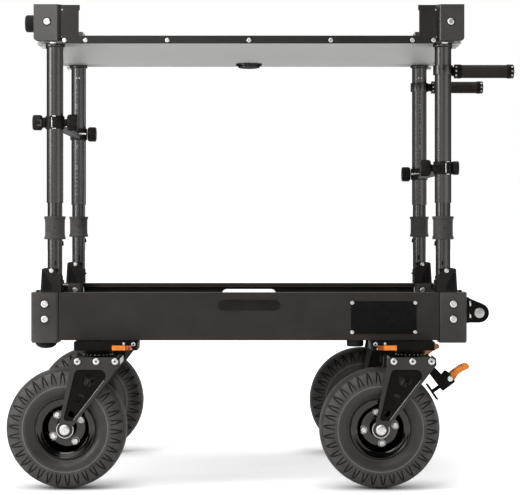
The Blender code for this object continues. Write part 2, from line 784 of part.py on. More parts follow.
def make_corner_block(name, end, side_x, side_y, lift):
    """Block on a shelf corner, its inner front edge chamfered, with the socket that stands over the post."""
    low, high = shelf_skin_top + touch, shelf_bottom + block_rise[end]
    front = deck_width / 2
    outline = [(block_inside, low)]
    outline += arc((block_outer - block_round, low + block_round), block_round, -90, 0, 3)
    outline += [(block_outer, high), (block_inside, high)]
    near, far = sorted((side_y * front, side_y * (front - block_depth)))
    shape = bmesh.new()
    prism(shape, flipped(outline, side_x), "y", near, far)
    corner = bmesh.new()
    outline = [(block_inside, front - block_chamfer), (block_inner, front), (block_inner, front + fuse),
               (block_inside - fuse, front + fuse), (block_inside - fuse, front - block_chamfer)]
    prism(corner, [(side_x * x, side_y * y) for x, y in outline], "z", low - fuse, high + fuse)
    socket = bmesh.new()
    inside = block_inner + 0.0005
    outline = socket_outline(socket_radius, front - edge_thickness, side_x, side_y)
    prism(socket, outline, "z", shelf_bottom, shelf_skin_top)
    neck = bmesh.new()
    outline = [(side_x * x, side_y * y) for x, y in rounded_box((inside, post_y - 0.015),
                                                                (post_x + 0.015, post_y + 0.015), 0.004, 1)]
    prism(neck, outline, "z", shelf_skin_top - fuse, low + fuse)
    node(name, shape, "satin_black", lift, add=[neck, socket], cut=[corner], smooth=False)


def make_shelf():
    """Everything that lifts with the shelf."""
    lift = joint("shelf_lift_axis", (0, 0, shelf_bottom), cart)
    make_shelf_panel(lift)
    for end, side_y in (("front", -1), ("rear", 1)):
        for label, side_x in (("left", -1), ("right", 1)):
            make_corner_block("{}_{}_block".format(end, label), end, side_x, side_y, lift)
    knob_y = -(deck_width / 2 - block_depth / 2)
    axis = joint("stub_knob_axis", (-block_outer, knob_y, stub_knob_z), lift)
    knob = bmesh.new()
    seat = -(block_outer + touch)
    profile = ((0, seat), (stub_knob_radius, seat), (stub_knob_radius, seat - stub_knob_length + knob_edge),
               (stub_knob_radius - knob_edge, seat - stub_knob_length), (0, seat - stub_knob_length))
    turned(knob, profile, "x", (0, knob_y, stub_knob_z), 18)
    node("stub_knob", knob, "knob", axis)


def fork_outline():
    """Side view of a fork plate, from the swivel axis (across) and the axle (up)."""
    top = fork_top - axle_z
    corner = fork_corner
    knee = (fork_knee[0], top + fork_knee[1])
    outline = [(-fork_left + 0.004, top), (fork_right - corner, top), (fork_right, top - corner),
               (fork_right, top - 0.017), (fork_right - 0.004, top - 0.021), knee]
    outline += arc((-trail, 0), fork_boss, 12, -190, 8)
    outline += [(-fork_left - 0.001, top - 0.016), (-fork_left - 0.0005, top - 0.004)]
    return outline


def pocket_outline():
    """The shallow triangle sunk into the outer face of a fork plate."""
    top = fork_top - axle_z - 0.026
    outline = arc((0.0077, top - 0.013), 0.013, 90, -37.6, 4)
    outline += [(-0.0497, 0.0190)]
    outline += arc((-0.0635, 0.0245), 0.0055, -90, -194, 3)
    outline += arc((-0.0365, top - 0.010), 0.010, 166, 90, 2)
    return outline


def make_fork_mesh():
    """Crown, kingpin and two plates as one casting, with sunk triangles, round holes and bolt heads."""
    half = fork_gap / 2
    top = fork_top - axle_z
    near = bmesh.new()
    prism(near, fork_outline(), "y", -fork_half, -half)
    far = bmesh.new()
    prism(far, fork_outline(), "y", half, fork_half)
    crown = bmesh.new()
    block(crown, (-fork_left + 0.006, -half - fuse, top - crown_height),
          (fork_right - fork_corner, half + fuse, top - fuse))
    kingpin = bmesh.new()
    rod(kingpin, kingpin_radius, "z", top - crown_height / 2, top + kingpin_height, (0, 0))
    bolts = []
    for step in (-1, 0, 1):
        for side in (-1, 1):
            bolt = bmesh.new()
            foot = side * (fork_half - fuse)
            head = side * (fork_half + bolt_head)
            profile = ((0, foot), (crown_bolt_radius, foot), (crown_bolt_radius, head), (0, head))
            turned(bolt, profile, "y", (step * crown_bolt_spacing, 0, bolt_z - axle_z), 8)
            bolts.append(bolt)
    holes = bmesh.new()
    for x, z, radius in fork_holes:
        rod(holes, radius, "y", -2 * fork_half, 2 * fork_half, (x, top + z), 14)
    rod(holes, axle_radius + running, "y", -2 * fork_half, 2 * fork_half, (-trail, 0))
    pockets = bmesh.new()
    prism(pockets, pocket_outline(), "y", -2 * fork_half, -fork_half + fork_pocket)
    prism(pockets, pocket_outline(), "y", fork_half - fork_pocket, 2 * fork_half)
    return baked_mesh("caster_fork", near, [far, crown, kingpin] + bolts, [pockets, holes])


def make_axle_mesh():
    """Axle with a washer and a head at each end."""
    end = fork_half + touch
    head = end + washer + axle_head
    half = [(0, head), (axle_head_radius, head), (axle_head_radius, end + washer),
            (washer_radius, end + washer), (washer_radius, end), (axle_radius, end)]
    profile = [(r, -t) for r, t in half] + [(r, t) for r, t in reversed(half)]
    shape = bmesh.new()
    turned(shape, profile, "y", (0, 0, 0), small_sides)
    return new_mesh("axle", shape, True)


def make_rim_mesh():
    """Two rim halves bolted together on a hub: a deep dish each side, and flanges that hold the beads."""
    hub_end = fork_gap / 2 - running
    half = [(hub_bore, hub_end), (hub_radius, hub_end), (hub_radius, rim_web / 2), (rim_dish, rim_web / 2),
            (rim_mouth, rim_half - 0.0035), (rim_flange_radius - 0.003, rim_half), (rim_flange_radius, rim_half - 0.0015),
            (rim_flange_radius, bead_half + 0.0018), (bead_radius, bead_half)]
    profile = half + [(r, -t) for r, t in reversed(half)]
    shape = bmesh.new()
    turned(shape, profile, "y", (0, 0, 0), rim_sides)
    return new_mesh("wheel_rim", shape, True)


def make_tyre_mesh():
    """Tyre section: beads in the rim, round sidewalls, and a crown that is flat where it stands."""
    grow = 1 / math.cos(facet)
    half_width = tyre_width / 2
    bead = bead_radius + touch
    outer = [(bead, bead_half - 0.0015), (rim_flange_radius + 0.003, bead_half + 0.002),
             (tyre_radius - 0.050, half_width - 0.002), (tyre_radius - 0.036, half_width),
             (tyre_radius - 0.022, half_width - 0.002), (tyre_radius - 0.0105, half_width - 0.008),
             (tyre_radius - 0.003, half_width - 0.020), (tyre_radius, half_width * 0.2)]
    inner = [(tyre_radius - 0.016, half_width - 0.017), (tyre_radius - 0.036, half_width - tyre_wall),
             (bead, bead_half - 0.010)]
    outer = [(r * grow, t) for r, t in outer]
    inner = [(r * grow, t) for r, t in inner]
    profile = outer + [(r, -t) for r, t in reversed(outer)] + [(r, -t) for r, t in reversed(inner)] + inner
    shape = bmesh.new()
    turned(shape, profile, "y", (0, 0, 0), wheel_sides, half_step=True)
    return new_mesh("tyre", shape, True)


def make_mount(name, x, y, side_x):
    """Caster mount under a rail, with the bearing ring that the fork turns in."""
    xs = sorted((x - side_x * mount_inner_length, x + side_x * mount_outer_length))
    plan = rounded_box((xs[0], y - mount_half_width), (xs[1], y + mount_half_width), mount_round, 2)
    mount = bmesh.new()
    prism(mount, plan, "z", mount_bottom, mount_top)
    race = bmesh.new()
    rod(race, race_radius, "z", fork_top + running, mount_bottom + fuse, (x, y), 20)
    bore = bmesh.new()
    rod(bore, kingpin_radius + 2 * running, "z", fork_top - mount_round, mount_top + mount_round, (x, y))
    node(name + "_mount", mount, "satin_black", add=[race], cut=[bore])


def make_swivel_lock(name, x, y, side_x, side_y):
    """Orange lever on the outer face of a caster mount; it swings out about a standing pin."""
    pivot_x = x - side_x * lock_pivot
    pivot_y = y + side_y * (mount_half_width + touch + lock_boss)
    axis = joint(name + "_lock_axis", (pivot_x, pivot_y, lock_z), cart)
    outer = lock_depth - lock_boss
    outline = arc((0.0, 0.0), lock_boss, 90, 270, 8)
    outline += [(lock_reach - 0.002, -lock_boss), (lock_reach, -lock_boss + 0.002),
                (lock_reach, outer - 0.002), (lock_reach - 0.002, outer), (lock_nose, outer)]
    plan = [(pivot_x + side_x * a, pivot_y + side_y * b) for a, b in outline]
    lever = bmesh.new()
    prism(lever, plan, "z", lock_z - lock_height / 2, lock_z + lock_height / 2)
    node(name + "_swivel_lock", lever, "orange", axis)


def make_brake(name, x, y, swivel):
    """Foot brake: cheeks and a core under the crown, an orange lever, and a pad that slides to the tyre."""
    pin_x, pin_height = x + brake_pin[0], crown_bottom - brake_pin[1]
    inner = brake_half_width - brake_cheek
    top = crown_bottom - touch
    cheek = [(x + across, top - down) for across, down in brake_cheek_outline]
    core = [(x + across, top - touch - down) for across, down in brake_core_outline]
    near = bmesh.new()
    prism(near, cheek, "y", y - brake_half_width, y - inner)
    far = bmesh.new()
    prism(far, cheek, "y", y + inner, y + brake_half_width)
    middle = bmesh.new()
    prism(middle, core, "y", y - inner - fuse, y + inner + fuse)

    away = Vector((math.cos(pad_angle), 0, math.sin(pad_angle)))
    face = Vector((x - trail, y, axle_z)) + away * (tyre_radius + pad_gap)
    tilt = Matrix.Rotation(-pad_angle, 4, "Y")
    eye = bmesh.new()
    rod(eye, brake_pin_radius + running, "y", y - 2 * brake_half_width, y + 2 * brake_half_width,
        (pin_x, pin_height))
    guide = bmesh.new()
    rod(guide, pad_stem_radius + running, "x", 0, 2 * pad_stem_length, (0, 0))
    bmesh.ops.transform(guide, matrix=Matrix.Translation(face) @ tilt, verts=guide.verts[:])
    node(name + "_brake_bracket", near, "satin_black", swivel, add=[far, middle], cut=[eye, guide],
         smooth=False)

    pivot = joint(name + "_brake_lever_axis", (pin_x, y, pin_height), swivel)
    tip = (x + brake_tip[0], crown_bottom - brake_tip[1])
    angle = math.degrees(math.atan2(tip[1] - pin_height, tip[0] - pin_x))
    outline = arc(tip, brake_arm_half, angle - 90, angle + 90, 6)
    outline += arc((pin_x, pin_height), brake_hub, angle + 50, angle + 310, 10)
    lever = bmesh.new()
    prism(lever, outline, "y", y - inner + running, y + inner - running)
    end = brake_half_width + touch
    head = end + brake_pin_rim
    profile = ((0, -head), (brake_pin_head, -head), (brake_pin_head, -end), (brake_pin_radius, -end),
               (brake_pin_radius, end), (brake_pin_head, end), (brake_pin_head, head), (0, head))
    pin = bmesh.new()
    turned(pin, profile, "y", (pin_x, y, pin_height), small_sides)
    node(name + "_brake_lever", lever, "orange", pivot, add=[pin])

    slide = joint(name + "_brake_pad_axis", tuple(face), swivel)
    pad = bmesh.new()
    half = pad_length / 2
    outline = ((0, -half), (pad_thickness, -half), (pad_thickness, half), (0, half))
    prism(pad, outline, "y", -brake_half_width, brake_half_width)
    stem = bmesh.new()
    rod(stem, pad_stem_radius, "x", pad_thickness - fuse, pad_stem_length, (0, 0))
    for shape in (pad, stem):
        bmesh.ops.transform(shape, matrix=tilt, verts=shape.verts[:])
    node(name + "_brake_pad", pad, "rubber", slide, add=[stem], smooth=False, local=True)


def make_casters():
    """At each corner a mount, a fork on its swivel, an axle, a rim and a tyre, and a swivel lock."""
    fork_mesh = make_fork_mesh()
    axle_mesh = make_axle_mesh()
    rim_mesh = make_rim_mesh()
    tyre_mesh = make_tyre_mesh()
    for end, side_y in (("front", -1), ("rear", 1)):
        for label, side_x in (("left", -1), ("right", 1)):
            x, y = swivel_x[label], side_y * swivel_y
            name = end + "_" + label
            make_mount(name, x, y, side_x)
            swivel = joint(name + "_swivel_axis", (x, y, axle_z), cart)
            wheel = joint(name + "_wheel_axis", (x - trail, y, axle_z), swivel)
            node(name + "_fork", fork_mesh, "satin_black", swivel, local=True)
            axle = node(name + "_axle", axle_mesh, "steel", swivel, local=True)
            axle.location = (-trail, 0, 0)
            node(name + "_rim", rim_mesh, "gloss_black", wheel, local=True)
            node(name + "_tyre", tyre_mesh, "tyre", wheel, local=True)
            make_swivel_lock(name, x, y, side_x, side_y)
            if label == "right":
                make_brake(name, x, y, swivel)


make_long_rails()
make_tray()
for end, side_y in (("front", -1), ("rear", 1)):
    for label, side_x in (("left", -1), ("right", 1)):
        make_corner("{}_{}_corner".format(end, label), side_x, side_y)
make_tow_end()
make_posts("left", -1, left_clamp_z)
right_slide = make_posts("right", 1, right_clamp_z)
make_handles(right_slide)
make_shelf()
make_casters()
bpy.context.view_layer.update()
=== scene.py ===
# Folding cart: tray base on four big casters, telescoping posts, top shelf, clamps and grip handles
import json
import math

import bmesh
import bpy
import numpy as np
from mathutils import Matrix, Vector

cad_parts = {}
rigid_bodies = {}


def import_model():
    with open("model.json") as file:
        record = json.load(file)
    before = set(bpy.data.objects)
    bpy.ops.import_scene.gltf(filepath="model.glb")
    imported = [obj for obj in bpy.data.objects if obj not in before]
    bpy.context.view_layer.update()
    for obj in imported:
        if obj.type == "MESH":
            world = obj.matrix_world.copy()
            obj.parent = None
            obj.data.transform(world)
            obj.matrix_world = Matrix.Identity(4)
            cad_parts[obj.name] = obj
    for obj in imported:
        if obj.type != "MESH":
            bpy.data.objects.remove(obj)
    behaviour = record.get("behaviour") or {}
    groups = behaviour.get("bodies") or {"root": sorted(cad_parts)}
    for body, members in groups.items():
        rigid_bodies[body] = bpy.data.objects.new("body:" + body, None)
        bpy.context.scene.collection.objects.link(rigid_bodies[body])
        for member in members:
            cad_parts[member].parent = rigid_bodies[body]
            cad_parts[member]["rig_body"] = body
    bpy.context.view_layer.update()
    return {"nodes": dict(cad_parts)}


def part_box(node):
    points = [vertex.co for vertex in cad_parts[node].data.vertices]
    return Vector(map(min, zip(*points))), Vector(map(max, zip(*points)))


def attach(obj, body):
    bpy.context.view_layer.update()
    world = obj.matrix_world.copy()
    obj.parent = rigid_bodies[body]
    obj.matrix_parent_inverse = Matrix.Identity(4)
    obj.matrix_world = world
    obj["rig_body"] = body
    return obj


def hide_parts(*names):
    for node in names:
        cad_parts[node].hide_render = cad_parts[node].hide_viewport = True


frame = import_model()
trayLow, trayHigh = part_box("tray")
cartX = (trayLow[0] + trayHigh[0]) / 2  # where the middle of the deck stands in the frame
print("frame loaded:", len(frame["nodes"]), "nodes")

axisOf = {"x": np.array([1.0, 0, 0]), "y": np.array([0, 1.0, 0]), "z": np.array([0, 0, 1.0])}
fromAxis = {"x": (axisOf["y"], axisOf["z"]), "y": (axisOf["z"], axisOf["x"]), "z": (axisOf["x"], axisOf["y"])}


# the posts' places are needed by a paint too
post = {
    "x": 0.421, "y": 0.274, "lower": 0.0160, "upper": 0.0180, "lowerFoot": 0.457, "lowerTop": 0.858,
    "upperFoot": 0.613, "upperTop": 0.9563, "flange": 0.0218, "pinX": 0.4262, "pinZ": 0.4665,
    "footReach": 0.0145, "footHalf": 0.0169, "keyhole": (0.4865, 0.4805), "crossPin": (0.4050, 0.4433),
    "catches": ((0.5235, 1.0), (0.5275, 0.8)), "dotsZ": 0.9256,
    "collar": (0.534, 0.584), "collarRadius": 0.0232, "waist": 0.0216,
}


class Wire:  # a socket that takes part in sums: wire * 2 + other adds Math nodes
    def __init__(self, nodes, socket):
        self.nodes, self.socket = nodes, socket

    def sum(self, operation, a, b):
        return self.nodes.node("ShaderNodeMath", {"operation": operation}, {0: a, 1: b})

    def also(self, output):
        # another output of the same node
        return Wire(self.nodes, self.socket.node.outputs[output])

    def __add__(self, other):
        return self.sum("ADD", self, other)

    def __sub__(self, other):
        return self.sum("SUBTRACT", self, other)

    def __rsub__(self, other):
        return self.sum("SUBTRACT", other, self)

    def __mul__(self, other):
        return self.sum("MULTIPLY", self, other)

    def __pow__(self, other):
        return self.sum("POWER", self, other)

    def __abs__(self):
        return self.nodes.node("ShaderNodeMath", {"operation": "ABSOLUTE"}, {0: self})

    __radd__ = __add__
    __rmul__ = __mul__


class Nodes:  # makes the nodes of one tree
    def __init__(self, tree):
        self.tree = tree

    def node(self, kind, settings, sockets, output=0):
        made = self.tree.nodes.new(kind)
        for key, value in settings.items():
            setattr(made, key, value)
        for key, value in sockets.items():
            if isinstance(value, Wire):
                self.tree.links.new(value.socket, made.inputs[key])
            else:
                made.inputs[key].default_value = value
        return Wire(self, made.outputs[output])


class Paint(Nodes):  # one material: a Principled shader and the nodes that feed it
    def __init__(self, name, colour, roughness, metallic=0.0, coat=0.0, specular=0.3):
        self.material = bpy.data.materials.new(name)
        self.material.use_nodes = True
        super().__init__(self.material.node_tree)
        self.shader = self.tree.nodes["Principled BSDF"]
        for key, value in (("Base Color", (*colour, 1)), ("Roughness", roughness), ("Metallic", metallic),
                           ("Coat Weight", coat), ("Specular IOR Level", specular)):
            self.shader.inputs[key].default_value = value
        self.place = self.node("ShaderNodeTexCoord", {}, {}, "Object")

    def noise(self, scale, detail=3.0, roughness=0.55):
        return self.node("ShaderNodeTexNoise", {}, {"Vector": self.place, "Scale": scale, "Detail": detail,
                                                    "Roughness": roughness})

    def ramp(self, wire, low, high, dark, light):
        # dark up to low, light from high on
        ramp = self.node("ShaderNodeValToRGB", {}, {"Fac": wire})
        for stop, at, colour in zip(ramp.socket.node.color_ramp.elements, (low, high), (dark, light)):
            stop.position, stop.color = at, (*colour, 1)
        return ramp

    def feed(self, key, wire):
        self.tree.links.new(wire.socket, self.shader.inputs[key])

    def bump(self, height, distance):
        bump = self.node("ShaderNodeBump", {}, {"Height": height, "Distance": distance, "Strength": 1.0})
        self.feed("Normal", bump)


def mottled(paint, dark, light, scale, rough, spread):
    # colour goes from dark to light with a broad noise, roughness varies by spread with a finer one
    paint.feed("Base Color", paint.ramp(paint.noise(scale), 0.35, 0.68, dark, light))
    paint.feed("Roughness", paint.noise(scale * 6) * (2 * spread) + (rough - spread))
    return paint


def powderCoat(name, dark, light, rough=0.5, grain=900.0, specular=0.12):
    paint = mottled(Paint(name, light, rough, specular=specular), dark, light, 14.0, rough, 0.05)
    paint.bump(paint.noise(grain, 2.0), 0.00012)
    return paint.material


def plainMetal(name, colour, rough, scale=60.0):
    darker = tuple(0.78 * c for c in colour)
    return mottled(Paint(name, colour, rough, metallic=1.0), darker, colour, scale, rough, 0.06).material


def darkMetal(name, colour, edge, rough, spread, scale):
    # anodised metal: the reflection is as dim as the colour, and stays dim towards the edge
    paint = Paint(name, colour, rough, metallic=1.0)
    paint.shader.inputs["Specular Tint"].default_value = (edge, edge, edge, 1)
    paint.feed("Roughness", paint.noise(scale) * (2 * spread) + (rough - spread))
    return paint


def rubber(name, dark, light, rough, grain, depth):
    paint = mottled(Paint(name, light, rough, specular=0.10), dark, light, 30.0, rough, 0.06)
    paint.bump(paint.noise(grain, 4.0), depth)
    return paint.material


def tyreRubber():
    paint = Paint("tyreRubber", (0.05, 0.046, 0.043), 0.6, specular=0.3)
    dust = paint.noise(38.0, 5.0, 0.62)
    colour = paint.ramp(dust, 0.32, 0.72, (0.034, 0.0312, 0.0285), (0.072, 0.0655, 0.060))
    # the attributes say how much each point lies on the sidewall, in a groove and on a raised ring: the sidewall is
    # mixed darker, the grooves near black as painted shade, the rings lighter as a painted highlight
    hows = {}
    for name, shade in (("wall", (0.020, 0.0185, 0.0172, 1)), ("groove", (0.004, 0.0037, 0.0034, 1)),
                        ("ridgeAndHighlight", (0.16, 0.152, 0.145, 1))):
        hows[name] = paint.node("ShaderNodeAttribute", {"attribute_name": name}, {}, "Fac")
        colour = paint.node("ShaderNodeMix", {"data_type": "RGBA"}, {0: hows[name], 6: colour, 7: shade}, 2)
    paint.feed("Base Color", colour)
    paint.feed("Roughness", 0.66 - paint.noise(22.0) * 0.22 - hows["wall"] * 0.22)
    paint.bump(paint.noise(700.0, 3.0) + dust * 0.6, 0.00025)
    return paint.material


def tubePaint():
    # satin black, with fine lines along the tube from a noise stretched tall
    paint = darkMetal("tubePaint", (0.060, 0.058, 0.056), 0.30, 0.28, 0.05, 60.0)
    tall = paint.node("ShaderNodeMapping", {}, {"Vector": paint.place, "Scale": (900.0, 900.0, 14.0)})
    lines = paint.node("ShaderNodeTexNoise", {}, {"Vector": tall, "Scale": 1.0, "Detail": 2.0})
    paint.bump(lines, 0.00003)
    return paint.material


def underside():
    # pale sheet with painted shade in a ring round each post, where the post's socket shades the sheet: reach =
    # distance to the nearest post in plan
    paint = Paint("undersideGreyWithShade", (0.5, 0.5, 0.48), 0.5, metallic=0.1)
    parts = paint.node("ShaderNodeSeparateXYZ", {}, {"Vector": paint.place}, "X")
    beside = abs(parts - cartX) - post["x"]
    along = abs(parts.also("Y")) - post["y"]
    reach = (beside * beside + along * along) ** 0.5 + paint.noise(9.0) * 0.012
    # painted shade: dark next to the posts, the pale sheet further out
    paint.feed("Base Color", paint.ramp(reach, 0.022, 0.085, (0.11, 0.109, 0.105), (0.43, 0.427, 0.411)))
    paint.feed("Roughness", paint.noise(30.0) * 0.1 + 0.45)
    return paint.material


materials = {
    "powder": powderCoat("powderCoat", (0.025, 0.0212, 0.0185), (0.032, 0.0275, 0.024)),
    "casting": powderCoat("castingCoat", (0.042, 0.0390, 0.0365), (0.066, 0.0615, 0.058), 0.45, 500.0, 0.15),
    "powderDark": powderCoat("powderDark", (0.0030, 0.0026, 0.0022), (0.0060, 0.0053, 0.0046), 0.5, 900.0, 0.06),
    "bracket": powderCoat("bracketCoat", (0.0075, 0.0065, 0.006), (0.0135, 0.0115, 0.0105), 0.46, 900.0, 0.12),
    "block": powderCoat("blockCoat", (0.0175, 0.0162, 0.0145), (0.030, 0.028, 0.0252), 0.33, 900.0, 0.72),
    "fork": powderCoat("forkCoat", (0.022, 0.0200, 0.0184), (0.032, 0.0292, 0.027), 0.40, 900.0, 0.3),
    "forkPocket": powderCoat("forkPocket", (0.0040, 0.0034, 0.0029), (0.0068, 0.0058, 0.005), 0.55, 900.0, 0.06),
    "edge": powderCoat("edgeCoat", (0.0085, 0.0076, 0.0068), (0.0135, 0.0121, 0.011), 0.38, 900.0, 0.3),
    "underside": underside(),
    "deck": rubber("deckMat", (0.010, 0.010, 0.010), (0.017, 0.017, 0.016), 0.8, 500.0, 0.0003),
    "tube": tubePaint(),
    "steel": plainMetal("zincSteel", (0.64, 0.63, 0.61), 0.36, 240.0),
    "dullSteel": plainMetal("dullSteel", (0.42, 0.42, 0.41), 0.45),
    "bright": plainMetal("brightEdge", (0.92, 0.91, 0.90), 0.5),
    "tyre": tyreRubber(),
    "rim": darkMetal("glossRim", (0.036, 0.0345, 0.033), 0.12, 0.12, 0.03, 20.0).material,
    "collar": rubber("collarRubber", (0.043, 0.042, 0.039), (0.066, 0.064, 0.060), 0.72, 420.0, 0.0003),
    "grip": rubber("gripRubber", (0.014, 0.0118, 0.010), (0.023, 0.0195, 0.0168), 0.62, 800.0, 0.0002),
    "knob": rubber("knobPlastic", (0.0055, 0.0048, 0.0044), (0.0115, 0.010, 0.0092), 0.5, 600.0, 0.00015),
    "foot": rubber("footRubber", (0.0085, 0.0082, 0.0078), (0.0165, 0.0158, 0.015), 0.70, 400.0, 0.0002),
    "orange": mottled(Paint("orangeCoat", (0.80, 0.22, 0.015), 0.38, coat=0.2), (0.66, 0.16, 0.010),
                      (0.86, 0.27, 0.020), 60.0, 0.38, 0.06).material,
    # a darker copy of the orange paint: painted shade on the lock knuckles and the brake teeth
    "orangeShadedCopy": mottled(Paint("orangePaintedShade", (0.35, 0.07, 0.01), 0.45), (0.22, 0.04, 0.008),
                          (0.38, 0.08, 0.012), 90.0, 0.45, 0.06).material,
    "print": mottled(Paint("palePrint", (0.35, 0.35, 0.34), 0.6), (0.22, 0.22, 0.21), (0.36, 0.36, 0.35),
                     300.0, 0.6, 0.05).material,
    # near black: the name plate's own black, and painted shade in the screw wells, keyholes and collar holes; also
    # used on the sunk panels and cross pin tips
    "blackAndShade": mottled(Paint("nearBlackAndShade", (0.004, 0.004, 0.004), 0.8, specular=0.1), (0.003, 0.003, 0.003),
                   (0.006, 0.006, 0.006), 80.0, 0.8, 0.05).material,
}
print("materials made:", len(materials))


def rounded(line, radius, steps, closed=True):
    # each corner P becomes (1-t)^2 A + 2t(1-t) P + t^2 B, with A and B a radius away on its two edges
    line = np.asarray(line, float)
    before, after = np.roll(line, 1, 0) - line, np.roll(line, -1, 0) - line
    reach = [np.minimum(radius, 0.45 * np.linalg.norm(d, axis=1))[:, None] for d in (before, after)]
    a = line + before / np.linalg.norm(before, axis=1)[:, None] * reach[0]
    b = line + after / np.linalg.norm(after, axis=1)[:, None] * reach[1]
    t = np.linspace(0, 1, steps + 1)[None, :, None]
    curve = (1 - t) ** 2 * a[:, None] + 2 * t * (1 - t) * line[:, None] + t ** 2 * b[:, None]
    if not closed:
        curve[0], curve[-1] = line[0], line[-1]
    return curve.reshape(-1, line.shape[1])


def lengths(line):
    # distance of each point from the line's start, measured along it
    return np.concatenate([[0], np.cumsum(np.linalg.norm(np.diff(line, axis=0), axis=1))])


def pointsAt(line, want):
    # the line's points at the wanted lengths along it
    reach = lengths(line)
    return np.stack([np.interp(want, reach, line[:, k]) for k in range(line.shape[1])], 1)


def smoothLine(points, count):
    # Catmull-Rom curve through the points, then count places at equal steps along it
    p = np.asarray(points, float)
    p = np.vstack([2 * p[0] - p[1], p, 2 * p[-1] - p[-2]])
    t = np.linspace(0, 1, 24, endpoint=False)[None, :, None]
    a, b, c, d = (p[i:len(p) - 3 + i, None] for i in range(4))
    fine = 0.5 * (2 * b + (c - a) * t + (2 * a - 5 * b + 4 * c - d) * t ** 2 + (3 * b - a - 3 * c + d) * t ** 3)
    fine = np.vstack([fine.reshape(-1, p.shape[1]), p[-2:-1]])
    return pointsAt(fine, np.linspace(0, lengths(fine)[-1], count))


def turns(count):
    return np.arange(count) * 2 * math.pi / count


def circle(centre, radius, start, end, steps):
    a = np.radians(np.linspace(start, end, steps + 1))
    return np.stack([centre[0] + radius * np.cos(a), centre[1] + radius * np.sin(a)], 1)


class Shape:  # surfaces gathered into one mesh, in deck coordinates
    def __init__(self):
        self.points, self.faces, self.count = [], [], 0

    def grid(self, p, wrapRows=False, wrapCols=True, caps=False):
        # p[i, j] joined to its neighbours by quads; caps close the first and last rows
        rows, cols = p.shape[:2]
        index = np.arange(rows * cols).reshape(rows, cols) + self.count
        first, last = index[0].tolist(), index[-1].tolist()
        if wrapRows:
            index = np.vstack([index, index[:1]])
        if wrapCols:
            index = np.hstack([index, index[:, :1]])
        quads = np.stack([index[:-1, :-1], index[1:, :-1], index[1:, 1:], index[:-1, 1:]], -1)
        self.faces += quads.reshape(-1, 4).tolist()
        if caps:
            self.faces += [first, last[::-1]]
        self.points.append(p.reshape(-1, 3))
        self.count += rows * cols
        return self

    def lathe(self, profile, axis, centre, sides, ring=False, lobes=0, lobeDepth=0.0):
        # p(i, j) = centre + t_i axis + r_i (1 + d cos(n a_j)) (u cos a_j + v sin a_j)
        profile = np.asarray(profile, float)
        a = turns(sides)
        u, v = fromAxis[axis]
        out = np.cos(a)[:, None] * u + np.sin(a)[:, None] * v
        swell = (1 + lobeDepth * np.cos(lobes * a))[None, :, None]
        p = np.asarray(centre, float) + profile[:, 1, None, None] * axisOf[axis]
        return self.grid(p + profile[:, 0, None, None] * out[None] * swell, wrapRows=ring)

    def spun(self, line, soft, steps, axis, centre, sides, **more):
        # a lathe whose profile has its corners softened
        return self.lathe(rounded(line, soft, steps, closed=False), axis, centre, sides, **more)

    def rod(self, axis, centre, radius, low, high, sides=28, soft=0.0, steps=3):
        line = [(0, low), (radius, low), (radius, high), (0, high)]
        return self.spun(line, soft, steps, axis, centre, sides) if soft else self.lathe(line, axis, centre, sides)

    def tube(self, axis, centre, inner, outer, low, high, sides, soft=0.0, steps=3):
        line = [(inner, low), (outer, low), (outer, high), (inner, high)]
        return self.lathe(rounded(line, soft, steps) if soft else line, axis, centre, sides, ring=True)

    def slab(self, outline, axis, low, high):
        # the outline, in the plane square to the axis, carried from low to high
        outline = np.asarray(outline, float)
        u, v = {"x": ("y", "z"), "y": ("x", "z"), "z": ("x", "y")}[axis]
        flat = outline[:, :1] * axisOf[u] + outline[:, 1:] * axisOf[v]
        return self.grid(np.stack([flat + axisOf[axis] * low, flat + axisOf[axis] * high]), caps=True)

    def box(self, low, high):
        outline = ((low[0], low[1]), (high[0], low[1]), (high[0], high[1]), (low[0], high[1]))
        return self.slab(outline, "z", low[2], high[2])

    def strand(self, path, radius, sides):
        # p(i, j) = path_i + radius (n_i cos a_j + m_i sin a_j), with n and m square to the path
        path = np.asarray(path, float)
        along = np.gradient(path, axis=0)
        along /= np.linalg.norm(along, axis=1)[:, None]
        side = np.cross(along, [0.31, 0.17, 0.93])
        side /= np.linalg.norm(side, axis=1)[:, None]
        other = np.cross(along, side)
        a = turns(sides)
        ringPoints = np.cos(a)[None, :, None] * side[:, None] + np.sin(a)[None, :, None] * other[:, None]
        return self.grid(path[:, None] + radius * ringPoints, caps=True)

    def mesh(self, name, smoothAngle):
        points = np.vstack(self.points) + np.array([cartX, 0, 0])
        mesh = bpy.data.meshes.new(name)
        mesh.from_pydata(points.tolist(), [], self.faces)
        bm = bmesh.new()
        bm.from_mesh(mesh)
        bmesh.ops.remove_doubles(bm, verts=bm.verts[:], dist=1e-6)
        bmesh.ops.recalc_face_normals(bm, faces=bm.faces[:])
        bm.to_mesh(mesh)
        bm.free()
        mesh.shade_smooth()
        mesh.set_sharp_from_angle(angle=math.radians(smoothAngle))
        return mesh


def placed(name, data):
    piece = bpy.data.objects.new(name, data)
    bpy.context.scene.collection.objects.link(piece)
    return piece


def finished(mesh, name, material, body, stands=(), bevel=0.0, segments=2):
    piece = placed(name, mesh)
    mesh.materials.clear()
    mesh.materials.append(materials[material])
    if bevel:
        edge = piece.modifiers.new("edge", "BEVEL")
        edge.width, edge.segments, edge.limit_method = bevel, segments, "ANGLE"
        edge.angle_limit = math.radians(32)
        edge.harden_normals = True
    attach(piece, body)
    if stands:
        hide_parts(*stands)
    return piece


def make(shape, name, material, body, stands=(), bevel=0.0, segments=2, smoothAngle=35):
    return finished(shape.mesh(name, smoothAngle), name, material, body, stands, bevel, segments)


def makeAll(body, *rows):
    for shape, name, material in rows:
        make(shape, name, material, body)


